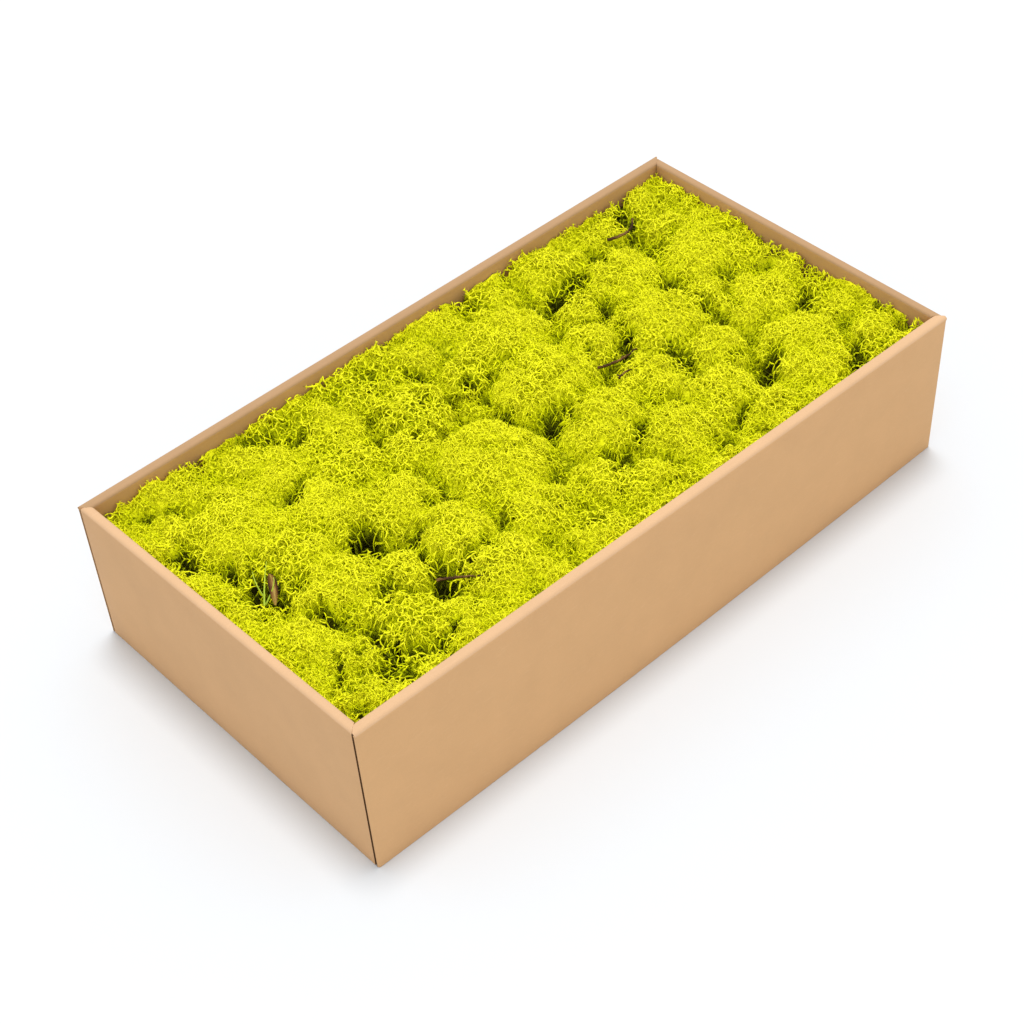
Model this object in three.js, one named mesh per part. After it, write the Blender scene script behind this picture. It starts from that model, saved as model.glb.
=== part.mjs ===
// A folding tray of kraft board, filled to the rim with clumps of reindeer moss.
// Millimetres. The origin is under the middle of the tray, on the surface it stands on.
// +X runs along the long walls, +Y from the near long wall to the far one, +Z up.

import * as THREE from "three";

// Driving dimensions of the tray
const trayLength = 401;
const trayWidth = 212;
const trayHeight = 92;
const boardThickness = 1.6;
const endWallWidth = 5.4;
const longWallWidth = 6.4;
const cornerSlit = 0.8;
const rimStart = 2.0;
const creaseRound = 0.4;
const flapReach = 62;
const flapTaper = 14;
const seam = 0.3;

// Driving dimensions of the moss and of what is caught in it
const clumpSides = 16;
const clumpGap = 0.5;
const clumpFootShare = 0.8;
const clumpShoulderDrop = 11;
const clumpFlankDepth = 9;
const clumpBellyHeight = 30;
const twigSides = 8;
const twigSteps = 8;
const twigRest = 0.3;

// Colours as the eye sees them
const kraftColour = "#d3a77c";
const kraftRimColour = "#e9c298";
const kraftInsideColour = "#b98c5f";
const mossColours = ["#cdd017", "#c3c914", "#d6d51c", "#b9c211"];
const twigColour = "#4c2a12";
const leafColour = "#6f5a22";

// Each clump: centre x and y, how far it spreads, and the height of its crown
const clumps = [
  [-166, 82, 41, 83],
  [-112, 82, 37, 85],
  [-73, 82, 34, 84],
  [-33, 82, 34, 84],
  [8, 86, 34, 85],
  [50, 78, 38, 87],
  [97, 86, 34, 88],
  [137, 87, 28, 86],
  [178, 84, 33, 85],
  [-155, 47, 35, 87],
  [-108, 34, 35, 88],
  [-68, 40, 33, 85],
  [-26, 42, 33, 85],
  [76, 32, 29, 84],
  [120, 50, 32, 87],
  [170, 40, 39, 88],
  [-186, 12, 30, 82],
  [-145, 4, 34, 87],
  [-88, -2, 33, 86],
  [-40, -4, 37, 88],
  [26, 22, 40, 88],
  [108, 10, 35, 88],
  [156, -8, 34, 85],
  [-178, -36, 33, 84],
  [-134, -36, 33, 86],
  [-78, -36, 29, 87],
  [-14, -44, 37, 86],
  [32, -28, 33, 88],
  [76, -24, 29, 85],
  [118, -34, 30, 85],
  [-168, -80, 35, 83],
  [-118, -78, 34, 85],
  [-66, -74, 37, 86],
  [-20, -84, 33, 85],
  [30, -72, 38, 85],
  [86, -66, 37, 87],
  [142, -66, 38, 86],
  [184, -62, 40, 85],
];

const halfLength = trayLength / 2;
const halfWidth = trayWidth / 2;
const floorTop = boardThickness;
const wallTop = trayHeight - boardThickness - seam;

const part = new THREE.Group();

function material(colour, roughness) {
  return new THREE.MeshStandardMaterial({ color: colour, roughness, metalness: 0 });
}

function add(name, geometry, surface) {
  const mesh = new THREE.Mesh(geometry, surface);
  mesh.name = name;
  part.add(mesh);
  return mesh;
}

// A flat sheet of board between two opposite corners
function addPanel(name, low, high, colour) {
  const geometry = new THREE.BoxGeometry(high[0] - low[0], high[1] - low[1], high[2] - low[2]);
  const mesh = add(name, geometry, material(colour, 0.9));
  mesh.position.set((low[0] + high[0]) / 2, (low[1] + high[1]) / 2, (low[2] + high[2]) / 2);
}

// Base of the tray, inside the four outer panels
function addBase() {
  const inset = boardThickness + seam;
  addPanel(
    "base_panel",
    [-halfLength + inset, -halfWidth + inset, 0],
    [halfLength - inset, halfWidth - inset, floorTop],
    kraftInsideColour,
  );
}

// Outer and inner panel of a long wall; side is -1 for the near wall and 1 for the far one
function addLongWall(name, side) {
  const outerFace = side * halfWidth;
  const outerBack = side * (halfWidth - boardThickness);
  const innerFace = side * (halfWidth - longWallWidth);
  const innerBack = side * (halfWidth - longWallWidth + boardThickness);
  addPanel(
    name + "_outer_panel",
    [-halfLength, Math.min(outerFace, outerBack), 0],
    [halfLength, Math.max(outerFace, outerBack), wallTop],
    kraftColour,
  );
  const innerEnd = halfLength - endWallWidth + boardThickness;
  addPanel(
    name + "_inner_panel",
    [-innerEnd, Math.min(innerFace, innerBack), floorTop + seam],
    [innerEnd, Math.max(innerFace, innerBack), wallTop],
    kraftInsideColour,
  );
}

// Outer and inner panel of an end wall; its outer panel stops at a slit beside each long wall
function addEndWall(name, side) {
  const outerFace = side * halfLength;
  const outerBack = side * (halfLength - boardThickness);
  const innerFace = side * (halfLength - endWallWidth);
  const innerBack = side * (halfLength - endWallWidth + boardThickness);
  const outerEnd = halfWidth - boardThickness - cornerSlit;
  addPanel(
    name + "_outer_panel",
    [Math.min(outerFace, outerBack), -outerEnd, 0],
    [Math.max(outerFace, outerBack), outerEnd, wallTop],
    kraftColour,
  );
  const innerEnd = halfWidth - longWallWidth - seam;
  addPanel(
    name + "_inner_panel",
    [Math.min(innerFace, innerBack), -innerEnd, floorTop + seam],
    [Math.max(innerFace, innerBack), innerEnd, wallTop],
    kraftInsideColour,
  );
}

// A rim strip: the narrow top of a rolled wall, its long creases slightly rounded
function addRim(name, outline) {
  const shape = new THREE.Shape(outline.map(([x, y]) => new THREE.Vector2(x, y)));
  const geometry = new THREE.ExtrudeGeometry(shape, {
    depth: boardThickness - 2 * creaseRound,
    bevelEnabled: true,
    bevelThickness: creaseRound,
    bevelSize: creaseRound,
    bevelOffset: -creaseRound,
    bevelSegments: 2,
  });
  const mesh = add(name, geometry, material(kraftRimColour, 0.9));
  mesh.position.z = trayHeight - boardThickness + creaseRound;
}

// The slanted cut between two rims starts a little in from the corner, on the end wall's side
function rimCutY(x) {
  return rimStart + (x * longWallWidth) / endWallWidth;
}

function addRims() {
  const cutGap = cornerSlit / 2;
  const longInnerX = ((longWallWidth - rimStart) * endWallWidth) / longWallWidth;
  for (const [name, side] of [["near_long", -1], ["far_long", 1]]) {
    const edge = (fromEnd, in_) => [halfLength - fromEnd, side * (halfWidth - in_)];
    const right = [edge(0, 0), edge(0, rimStart - cutGap), edge(longInnerX + cutGap, longWallWidth)];
    const left = right.map(([x, y]) => [-x, y]).reverse();
    const outline = [...right, ...left];
    addRim(name + "_wall_rim", side > 0 ? outline.reverse() : outline);
  }
  for (const [name, side] of [["left_end", -1], ["right_end", 1]]) {
    const edge = (in_, fromCorner) => [side * (halfLength - in_), halfWidth - fromCorner];
    const far = [edge(0, rimStart + cutGap), edge(endWallWidth, rimCutY(endWallWidth) + cutGap)];
    const near = far.map(([x, y]) => [x, -y]).reverse();
    const outline = [...far, ...near];
    addRim(name + "_wall_rim", side > 0 ? outline.reverse() : outline);
  }
}

// Corner flaps fold off the long walls and lie inside the rolled end walls
function addCornerFlaps() {
  const flapOuter = halfLength - boardThickness - seam;
  const root = halfWidth - boardThickness - seam;
  const low = floorTop + seam;
  const outline = [
    new THREE.Vector2(root, low),
    new THREE.Vector2(root, wallTop),
    new THREE.Vector2(root - flapReach + flapTaper, wallTop),
    new THREE.Vector2(root - flapReach, wallTop - flapTaper),
    new THREE.Vector2(root - flapReach, low + flapTaper),
    new THREE.Vector2(root - flapReach + flapTaper, low),
  ];
  for (const [endName, endSide] of [["left", -1], ["right", 1]]) {
    for (const [sideName, longSide] of [["near", -1], ["far", 1]]) {
      const points = outline.map((p) => new THREE.Vector2(p.x * longSide, p.y));
      const geometry = new THREE.ExtrudeGeometry(new THREE.Shape(points), {
        depth: boardThickness,
        bevelEnabled: false,
      });
      // The outline is drawn in the plane of the end wall, then stood up there
      const standUp = new THREE.Matrix4().makeBasis(
        new THREE.Vector3(0, 1, 0),
        new THREE.Vector3(0, 0, 1),
        new THREE.Vector3(1, 0, 0),
      );
      geometry.applyMatrix4(standUp);
      const mesh = add(`corner_flap_${endName}_${sideName}`, geometry, material(kraftColour, 0.9));
      mesh.position.x = endSide > 0 ? flapOuter - boardThickness : -flapOuter;
    }
  }
}

// How far clump i reaches from its centre at an angle, before it meets a neighbour or a wall
function clumpReach(i, angle) {
  const [x, y, spread] = clumps[i];
  const dx = Math.cos(angle);
  const dy = Math.sin(angle);
  let reach = spread;
  const wallX = halfLength - endWallWidth - clumpGap;
  const wallY = halfWidth - longWallWidth - clumpGap;
  if (Math.abs(dx) > 1e-6) reach = Math.min(reach, (Math.sign(dx) * wallX - x) / dx);
  if (Math.abs(dy) > 1e-6) reach = Math.min(reach, (Math.sign(dy) * wallY - y) / dy);
  clumps.forEach(([ox, oy, otherSpread], j) => {
    if (j === i) return;
    const away = Math.hypot(ox - x, oy - y);
    const towards = (dx * (ox - x) + dy * (oy - y)) / away;
    if (towards < 1e-6) return;
    // The border lies nearer the smaller of the two clumps
    const border = away / 2 + (spread ** 2 - otherSpread ** 2) / (2 * away) - clumpGap / 2;
    reach = Math.min(reach, border / towards);
  });
  return reach;
}

// A clump: a narrow foot on the base, a flank pressed by its neighbours and a lobed crown
function clumpGeometry(i) {
  const [x, y, , crown] = clumps[i];
  const foot = floorTop + seam;
  const shoulder = crown - clumpShoulderDrop;
  const crownHeight = (share) => crown - clumpShoulderDrop * share ** 2.2;
  const rings = [
    [clumpFootShare, foot],
    [0.94, foot + clumpBellyHeight],
    [1, shoulder - clumpFlankDepth],
    [0.97, shoulder],
    [0.8, crownHeight(0.8)],
    [0.52, crownHeight(0.52)],
    [0.24, crownHeight(0.24)],
  ];
  const positions = [];
  rings.forEach(([share, z], ring) => {
    for (let side = 0; side < clumpSides; side += 1) {
      const angle = (side / clumpSides) * 2 * Math.PI;
      const reach = share * clumpReach(i, angle);
      const lobes = ring > 3 ? Math.sin(3 * angle + 1.7 * i) * 1.4 * share : 0;
      positions.push(x + reach * Math.cos(angle), y + reach * Math.sin(angle), z + lobes);
    }
  });
  const footCentre = positions.length / 3;
  positions.push(x, y, foot);
  positions.push(x, y, crown);
  const indices = [];
  const corner = (ring, side) => ring * clumpSides + (side % clumpSides);
  for (let side = 0; side < clumpSides; side += 1) {
    indices.push(footCentre, corner(0, side + 1), corner(0, side));
    for (let ring = 0; ring + 1 < rings.length; ring += 1) {
      indices.push(corner(ring, side), corner(ring, side + 1), corner(ring + 1, side + 1));
      indices.push(corner(ring, side), corner(ring + 1, side + 1), corner(ring + 1, side));
    }
    const last = rings.length - 1;
    indices.push(footCentre + 1, corner(last, side), corner(last, side + 1));
  }
  const geometry = new THREE.BufferGeometry();
  geometry.setAttribute("position", new THREE.Float32BufferAttribute(positions, 3));
  geometry.setIndex(indices);
  geometry.computeVertexNormals();
  return geometry;
}

function addClumps() {
  return clumps.map((_, i) => {
    const name = "moss_clump_" + String(i + 1).padStart(2, "0");
    return add(name, clumpGeometry(i), material(mossColours[i % mossColours.length], 1));
  });
}

// Height of the moss under a point of the plan
function mossTop(mossMeshes, x, y) {
  const down = new THREE.Raycaster(
    new THREE.Vector3(x, y, trayHeight * 2),
    new THREE.Vector3(0, 0, -1),
  );
  const hits = down.intersectObjects(mossMeshes, false);
  return hits.length ? hits[0].point.z : 0;
}

// The height at which a round stick along a path clears the moss by the resting gap
function restHeight(mossMeshes, path, radius) {
  let height = 0;
  for (let k = 0; k <= 24; k += 1) {
    const [x, y] = path.getPoint(k / 24).toArray();
    for (const side of [-radius, 0, radius]) {
      height = Math.max(height, mossTop(mossMeshes, x + side, y), mossTop(mossMeshes, x, y + side));
    }
  }
  return height + radius + twigRest;
}

// A bent twig lying across a hollow between clumps
function addTwig(name, mossMeshes, points, radius) {
  const flat = new THREE.CatmullRomCurve3(points.map(([x, y]) => new THREE.Vector3(x, y, 0)));
  const z = restHeight(mossMeshes, flat, radius);
  const path = new THREE.CatmullRomCurve3(points.map(([x, y]) => new THREE.Vector3(x, y, z)));
  const section = new THREE.Shape();
  for (let side = 0; side < twigSides; side += 1) {
    const angle = (side / twigSides) * 2 * Math.PI;
    const place = [radius * Math.cos(angle), radius * Math.sin(angle)];
    if (side === 0) section.moveTo(...place);
    else section.lineTo(...place);
  }
  section.closePath();
  const geometry = new THREE.ExtrudeGeometry(section, {
    steps: twigSteps,
    bevelEnabled: false,
    extrudePath: path,
  });
  add(name, geometry, material(twigColour, 0.85));
}

// A dry blade caught between two clumps, pointed at both ends
function addLeaf(mossMeshes) {
  const length = 19;
  const width = 4.4;
  const thickness = 0.9;
  const middle = [-165, 4];
  const heading = THREE.MathUtils.degToRad(58);
  const halfX = (Math.cos(heading) * length) / 2;
  const halfY = (Math.sin(heading) * length) / 2;
  const along = new THREE.LineCurve3(
    new THREE.Vector3(middle[0] - halfX, middle[1] - halfY, 0),
    new THREE.Vector3(middle[0] + halfX, middle[1] + halfY, 0),
  );
  const z = restHeight(mossMeshes, along, width / 2) - width / 2;
  const blade = new THREE.Shape();
  blade.moveTo(-length / 2, 0);
  blade.quadraticCurveTo(0, -width, length / 2, 0);
  blade.quadraticCurveTo(0, width, -length / 2, 0);
  const geometry = new THREE.ExtrudeGeometry(blade, {
    depth: thickness,
    curveSegments: 6,
    bevelEnabled: false,
  });
  geometry.rotateZ(heading);
  const mesh = add("dry_leaf", geometry, material(leafColour, 0.8));
  mesh.position.set(middle[0], middle[1], z);
}

addBase();
addLongWall("near_long_wall", -1);
addLongWall("far_long_wall", 1);
addEndWall("left_end_wall", -1);
addEndWall("right_end_wall", 1);
addRims();
addCornerFlaps();
const moss = addClumps();
part.updateMatrixWorld(true);
addTwig("twig_left", moss, [[-106, -52], [-99, -58], [-88, -66]], 0.9);
addTwig("twig_middle", moss, [[58, 5], [68, 1], [80, 2]], 1.0);
addTwig("twig_short", moss, [[56, -10], [61, -9.5], [67, -10.5]], 0.7);
addTwig("twig_far", moss, [[134, 76], [146, 73], [156, 80]], 1.0);
addLeaf(moss);

export default part;
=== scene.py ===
import math

import bmesh
import bpy
import numpy as np
from mathutils import Matrix, Vector


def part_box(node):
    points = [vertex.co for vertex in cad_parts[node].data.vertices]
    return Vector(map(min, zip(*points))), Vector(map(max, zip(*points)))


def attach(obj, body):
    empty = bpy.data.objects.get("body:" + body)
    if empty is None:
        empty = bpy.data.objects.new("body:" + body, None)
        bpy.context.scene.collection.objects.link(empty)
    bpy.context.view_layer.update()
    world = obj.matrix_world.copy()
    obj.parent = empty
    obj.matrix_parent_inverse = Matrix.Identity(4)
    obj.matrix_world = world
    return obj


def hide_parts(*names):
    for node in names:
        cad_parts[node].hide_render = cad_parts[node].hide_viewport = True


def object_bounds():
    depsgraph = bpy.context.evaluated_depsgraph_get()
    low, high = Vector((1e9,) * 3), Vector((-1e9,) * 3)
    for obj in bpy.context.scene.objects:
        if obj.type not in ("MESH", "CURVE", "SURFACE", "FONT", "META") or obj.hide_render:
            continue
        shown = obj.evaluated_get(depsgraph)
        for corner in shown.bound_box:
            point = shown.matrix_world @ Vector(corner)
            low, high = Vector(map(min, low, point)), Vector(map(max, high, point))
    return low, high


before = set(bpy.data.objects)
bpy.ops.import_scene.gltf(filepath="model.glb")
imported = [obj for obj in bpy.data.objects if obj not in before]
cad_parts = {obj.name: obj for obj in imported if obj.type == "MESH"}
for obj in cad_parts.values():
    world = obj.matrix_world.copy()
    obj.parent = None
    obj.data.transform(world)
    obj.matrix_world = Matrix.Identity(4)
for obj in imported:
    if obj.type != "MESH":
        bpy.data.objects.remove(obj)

cadLow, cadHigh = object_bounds()
scene = bpy.context.scene
mm = 0.001

# The tray's own sizes, as the frame has them
tray = {
    "halfLength": cadHigh.x,
    "halfWidth": cadHigh.y,
    "height": cadHigh.z,
    "board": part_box("base_panel")[1].z,
    "endInner": -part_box("left_end_wall_inner_panel")[1].x,
    "longInner": -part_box("near_long_wall_inner_panel")[1].y,
}


# Camera first: it stands where the photograph was taken from
cameraLook = {
    "place": (-0.5327, -0.6171, 0.8008),
    "yaw": 40.039,
    "pitch": 43.803,
    "roll": -4.142,
    "lens": 75.16,
    "sensor": 36.0,
}


def makeCamera():
    yaw, pitch, roll = (math.radians(cameraLook[key]) for key in ("yaw", "pitch", "roll"))
    forward = Vector((math.cos(pitch) * math.sin(yaw), math.cos(pitch) * math.cos(yaw), -math.sin(pitch)))
    level = Vector((math.cos(yaw), -math.sin(yaw), 0))
    steep = level.cross(forward)
    right = level * math.cos(roll) + steep * math.sin(roll)
    up = steep * math.cos(roll) - level * math.sin(roll)
    bpy.ops.object.camera_add()
    camera = bpy.context.active_object
    camera.name = "camera"
    turn = Matrix((right, up, -forward)).transposed().to_4x4()
    camera.matrix_world = Matrix.Translation(cameraLook["place"]) @ turn
    camera.data.sensor_width = cameraLook["sensor"]
    camera.data.lens = cameraLook["lens"]
    camera.data.clip_start = 0.05
    camera.data.clip_end = 30
    scene.camera = camera


makeCamera()
print("camera placed")


# Small helpers for work in edit mode
def startClean():
    if bpy.context.mode != "OBJECT":
        bpy.ops.object.mode_set(mode="OBJECT")
    bpy.ops.object.select_all(action="DESELECT")


def named(name):
    piece = bpy.context.active_object
    piece.name = name
    piece.data.name = name
    return piece


def takeUp(piece, *others):
    startClean()
    for one in (piece, *others):
        one.select_set(True)
    bpy.context.view_layer.objects.active = piece


def applyPlace():
    bpy.ops.object.transform_apply(location=True, rotation=True, scale=True)


def editPiece(piece, selectMode="FACE"):
    takeUp(piece)
    bpy.ops.object.mode_set(mode="EDIT")
    bpy.ops.mesh.select_mode(type=selectMode)
    bpy.ops.mesh.select_all(action="DESELECT")


def pickFaces(piece, wanted):
    bpy.ops.mesh.select_mode(type="FACE")
    bpy.ops.mesh.select_all(action="DESELECT")
    shape = bmesh.from_edit_mesh(piece.data)
    for face in shape.faces:
        face.select_set(bool(wanted(face)))
    bmesh.update_edit_mesh(piece.data)


def pickEdges(piece, wanted):
    bpy.ops.mesh.select_mode(type="EDGE")
    bpy.ops.mesh.select_all(action="DESELECT")
    shape = bmesh.from_edit_mesh(piece.data)
    for edge in shape.edges:
        edge.select_set(bool(wanted(edge.verts[0].co, edge.verts[1].co)))
    bmesh.update_edit_mesh(piece.data)


def near(value, target, slack=0.00005):
    return abs(value - target) < slack


# Straight cuts through the whole piece, square to an axis
def cutAcross(places, axis):
    for place in places:
        bpy.ops.mesh.select_all(action="SELECT")
        bpy.ops.mesh.bisect(plane_co=[place * part for part in axis], plane_no=axis)


def applyModifiers(piece):
    takeUp(piece)
    for modifier in list(piece.modifiers):
        bpy.ops.object.modifier_apply(modifier=modifier.name)


def smoothByAngle(piece, degrees):
    takeUp(piece)
    bpy.ops.object.shade_smooth_by_angle(angle=math.radians(degrees))


# A finished piece stands for its nodes of the frame and rides on the whole thing
def hand(piece, slot, *nodes):
    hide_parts(*nodes)
    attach(piece, "root")
    return piece


# Node helpers
def socket(group, name, inOut, kind, value=None):
    made = group.interface.new_socket(name=name, in_out=inOut, socket_type=kind)
    if value is not None:
        made.default_value = value
    return made


def link(tree, source, target):
    tree.links.new(source, target)


def addNode(tree, kind, x, y, **values):
    node = tree.nodes.new(kind)
    node.location = (x, y)
    for key, value in values.items():
        setattr(node, key, value)
    return node


def setInputs(node, values):
    for key, value in values.items():
        node.inputs[key].default_value = value


def addMath(tree, operation, x, y, first=None, second=None):
    node = addNode(tree, "ShaderNodeMath", x, y, operation=operation)
    for place, value in enumerate((first, second)):
        if isinstance(value, (int, float)):
            node.inputs[place].default_value = value
        elif value is not None:
            link(tree, value, node.inputs[place])
    return node.outputs[0]


def addRamp(tree, x, y, level, stops):
    ramp = addNode(tree, "ShaderNodeValToRGB", x, y)
    elements = ramp.color_ramp.elements
    while len(elements) < len(stops):
        elements.new(0.5)
    for element, (position, colour) in zip(elements, stops):
        element.position = position
        element.color = (*colour, 1)
    link(tree, level, ramp.inputs["Fac"])
    return ramp.outputs["Color"]


def newMaterial(name):
    material = bpy.data.materials.new(name)
    material.use_nodes = True
    return material, material.node_tree, material.node_tree.nodes["Principled BSDF"]


# Kraft board: a faint mottle, short pressed fibres and a little bump
def makeBoardGroup():
    group = bpy.data.node_groups.new("kraftBoard", "ShaderNodeTree")
    socket(group, "Vector", "INPUT", "NodeSocketVector")
    socket(group, "Face", "INPUT", "NodeSocketColor", (0.45, 0.27, 0.13, 1))
    socket(group, "Fibre", "INPUT", "NodeSocketColor", (0.6, 0.4, 0.22, 1))
    socket(group, "Mottle", "INPUT", "NodeSocketFloat", 0.06)
    socket(group, "Fibres", "INPUT", "NodeSocketFloat", 0.12)
    socket(group, "Color", "OUTPUT", "NodeSocketColor")
    socket(group, "Roughness", "OUTPUT", "NodeSocketFloat")
    socket(group, "Height", "OUTPUT", "NodeSocketFloat")
    start = addNode(group, "NodeGroupInput", -1100, 0)
    end = addNode(group, "NodeGroupOutput", 700, 0)

    cloudy = addNode(group, "ShaderNodeTexNoise", -800, 250)
    setInputs(cloudy, {"Scale": 38, "Detail": 5, "Roughness": 0.62})
    link(group, start.outputs["Vector"], cloudy.inputs["Vector"])
    grainy = addNode(group, "ShaderNodeTexNoise", -800, 0)
    setInputs(grainy, {"Scale": 1300, "Detail": 3})
    link(group, start.outputs["Vector"], grainy.inputs["Vector"])
    # Fibres run mostly along the board, in two slightly turned layers
    layers = []
    for turn, y in ((0.35, -250), (-0.5, -500)):
        lay = addNode(group, "ShaderNodeMapping", -980, y)
        setInputs(lay, {"Rotation": (turn, turn * 0.7, turn), "Scale": (160, 900, 900)})
        link(group, start.outputs["Vector"], lay.inputs["Vector"])
        strands = addNode(group, "ShaderNodeTexNoise", -800, y)
        setInputs(strands, {"Scale": 1, "Detail": 2})
        link(group, lay.outputs[0], strands.inputs["Vector"])
        thin = addNode(group, "ShaderNodeMapRange", -600, y)
        setInputs(thin, {"From Min": 0.62, "From Max": 0.74})
        link(group, strands.outputs["Fac"], thin.inputs["Value"])
        layers.append(thin.outputs[0])
    fibres = addMath(group, "MAXIMUM", -400, -350, layers[0], layers[1])

    shift = addMath(group, "SUBTRACT", -600, 250, cloudy.outputs["Fac"], 0.5)
    fine = addMath(group, "SUBTRACT", -600, 80, grainy.outputs["Fac"], 0.5)
    half = addMath(group, "MULTIPLY", -450, 80, fine, 0.6)
    both = addMath(group, "ADD", -450, 250, shift, half)
    swing = addMath(group, "MULTIPLY", -300, 250, both, start.outputs["Mottle"])
    doubled = addMath(group, "MULTIPLY_ADD", -150, 250, swing, 2.0)
    doubled.node.inputs[2].default_value = 1.0
    tone = addNode(group, "ShaderNodeVectorMath", 0, 200, operation="SCALE")
    link(group, start.outputs["Face"], tone.inputs[0])
    link(group, doubled, tone.inputs["Scale"])
    amount = addMath(group, "MULTIPLY", -200, -350, fibres, start.outputs["Fibres"])
    blend = addNode(group, "ShaderNodeMix", 250, 100, data_type="RGBA")
    link(group, amount, blend.inputs["Factor"])
    link(group, tone.outputs[0], blend.inputs["A"])
    link(group, start.outputs["Fibre"], blend.inputs["B"])
    link(group, blend.outputs["Result"], end.inputs["Color"])

    rough = addNode(group, "ShaderNodeMapRange", 250, -150)
    setInputs(rough, {"To Min": 0.72, "To Max": 0.9})
    link(group, grainy.outputs["Fac"], rough.inputs["Value"])
    link(group, rough.outputs[0], end.inputs["Roughness"])
    relief = addMath(group, "MULTIPLY_ADD", 250, -350, fibres, 0.5)
    link(group, grainy.outputs["Fac"], relief.node.inputs[2])
    link(group, relief, end.inputs["Height"])
    return group


def makeBoardMaterial(name, group, look):
    material, tree, shader = newMaterial(name)
    place = addNode(tree, "ShaderNodeTexCoord", -900, 0)
    board = addNode(tree, "ShaderNodeGroup", -650, 0)
    board.node_tree = group
    setInputs(board, {"Face": (*look["face"], 1), "Fibre": (*look["fibre"], 1),
                      "Mottle": look["mottle"], "Fibres": look["fibres"]})
    link(tree, place.outputs["Object"], board.inputs["Vector"])
    bump = addNode(tree, "ShaderNodeBump", -350, -250)
    setInputs(bump, {"Strength": look["bump"], "Distance": 0.0001})
    link(tree, board.outputs["Height"], bump.inputs["Height"])
    link(tree, board.outputs["Color"], shader.inputs["Base Color"])
    link(tree, board.outputs["Roughness"], shader.inputs["Roughness"])
    link(tree, bump.outputs["Normal"], shader.inputs["Normal"])
    shader.inputs["Specular IOR Level"].default_value = 0.25
    return material


boardLooks = {
    "kraftOutside": {"face": (0.655, 0.386, 0.181), "fibre": (0.80, 0.54, 0.31),
                     "mottle": 0.07, "fibres": 0.10, "bump": 0.25},
    # A darker copy of the outside colour for the end walls: painted shade
    "kraftEndOutsidePaintedShade": {"face": (0.612, 0.366, 0.180), "fibre": (0.78, 0.52, 0.30),
                        "mottle": 0.07, "fibres": 0.10, "bump": 0.25},
    "kraftInside": {"face": (0.560, 0.315, 0.140), "fibre": (0.70, 0.45, 0.25),
                    "mottle": 0.09, "fibres": 0.14, "bump": 0.3},
    # Two copies of the rim colour: a lighter one for the near and left rims, painted light, and a darker one
    # for the far and right rims, painted shade
    "kraftFoldPaintedLight": {"face": (0.630, 0.400, 0.225), "fibre": (0.75, 0.52, 0.33),
                  "mottle": 0.08, "fibres": 0.14, "bump": 0.35},
    "kraftFoldShaded": {"face": (0.430, 0.262, 0.135), "fibre": (0.55, 0.36, 0.20),
                        "mottle": 0.08, "fibres": 0.14, "bump": 0.35},
    # The raw board ends, seen in the slits and mitres, are painted near-black: painted shade
    "kraftRawEdgePaintedShade": {"face": (0.110, 0.050, 0.016), "fibre": (0.30, 0.17, 0.08),
                     "mottle": 0.2, "fibres": 0.3, "bump": 0.8},
    # The flaps behind the slits are painted near-black: painted shade
    "kraftHiddenPaintedShade": {"face": (0.055, 0.024, 0.006), "fibre": (0.12, 0.06, 0.02),
                    "mottle": 0.12, "fibres": 0.14, "bump": 0.3},
}
boardGroup = makeBoardGroup()
boards = {name: makeBoardMaterial(name, boardGroup, look) for name, look in boardLooks.items()}
print("board materials made")


# Rolled walls: one sheet goes up the outside, over the rim and down the inside
wallLook = {
    "outerCrease": 2.0 * mm,
    "innerCrease": 1.7 * mm,
    "creaseSteps": 5,
    "cornerFold": 1.2 * mm,
    "edgeRound": 0.3 * mm,
    "rows": (0.012, 0.03, 0.05, 0.07),
    "columns": 15,
    "columnReach": 0.97,       # the outermost columns stay this share inside the ends
    "innerFoot": 1.9 * mm,     # the inner panel ends on the base
    "foldDrop": 2.6 * mm,      # the rim's painted light and painted shade reach this far down
    "smoothAngle": 38,
    "rimStart": 2.1 * mm,
    "cornerSlit": 1.2 * mm,
    "rimGap": 0.7 * mm,
}


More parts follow.
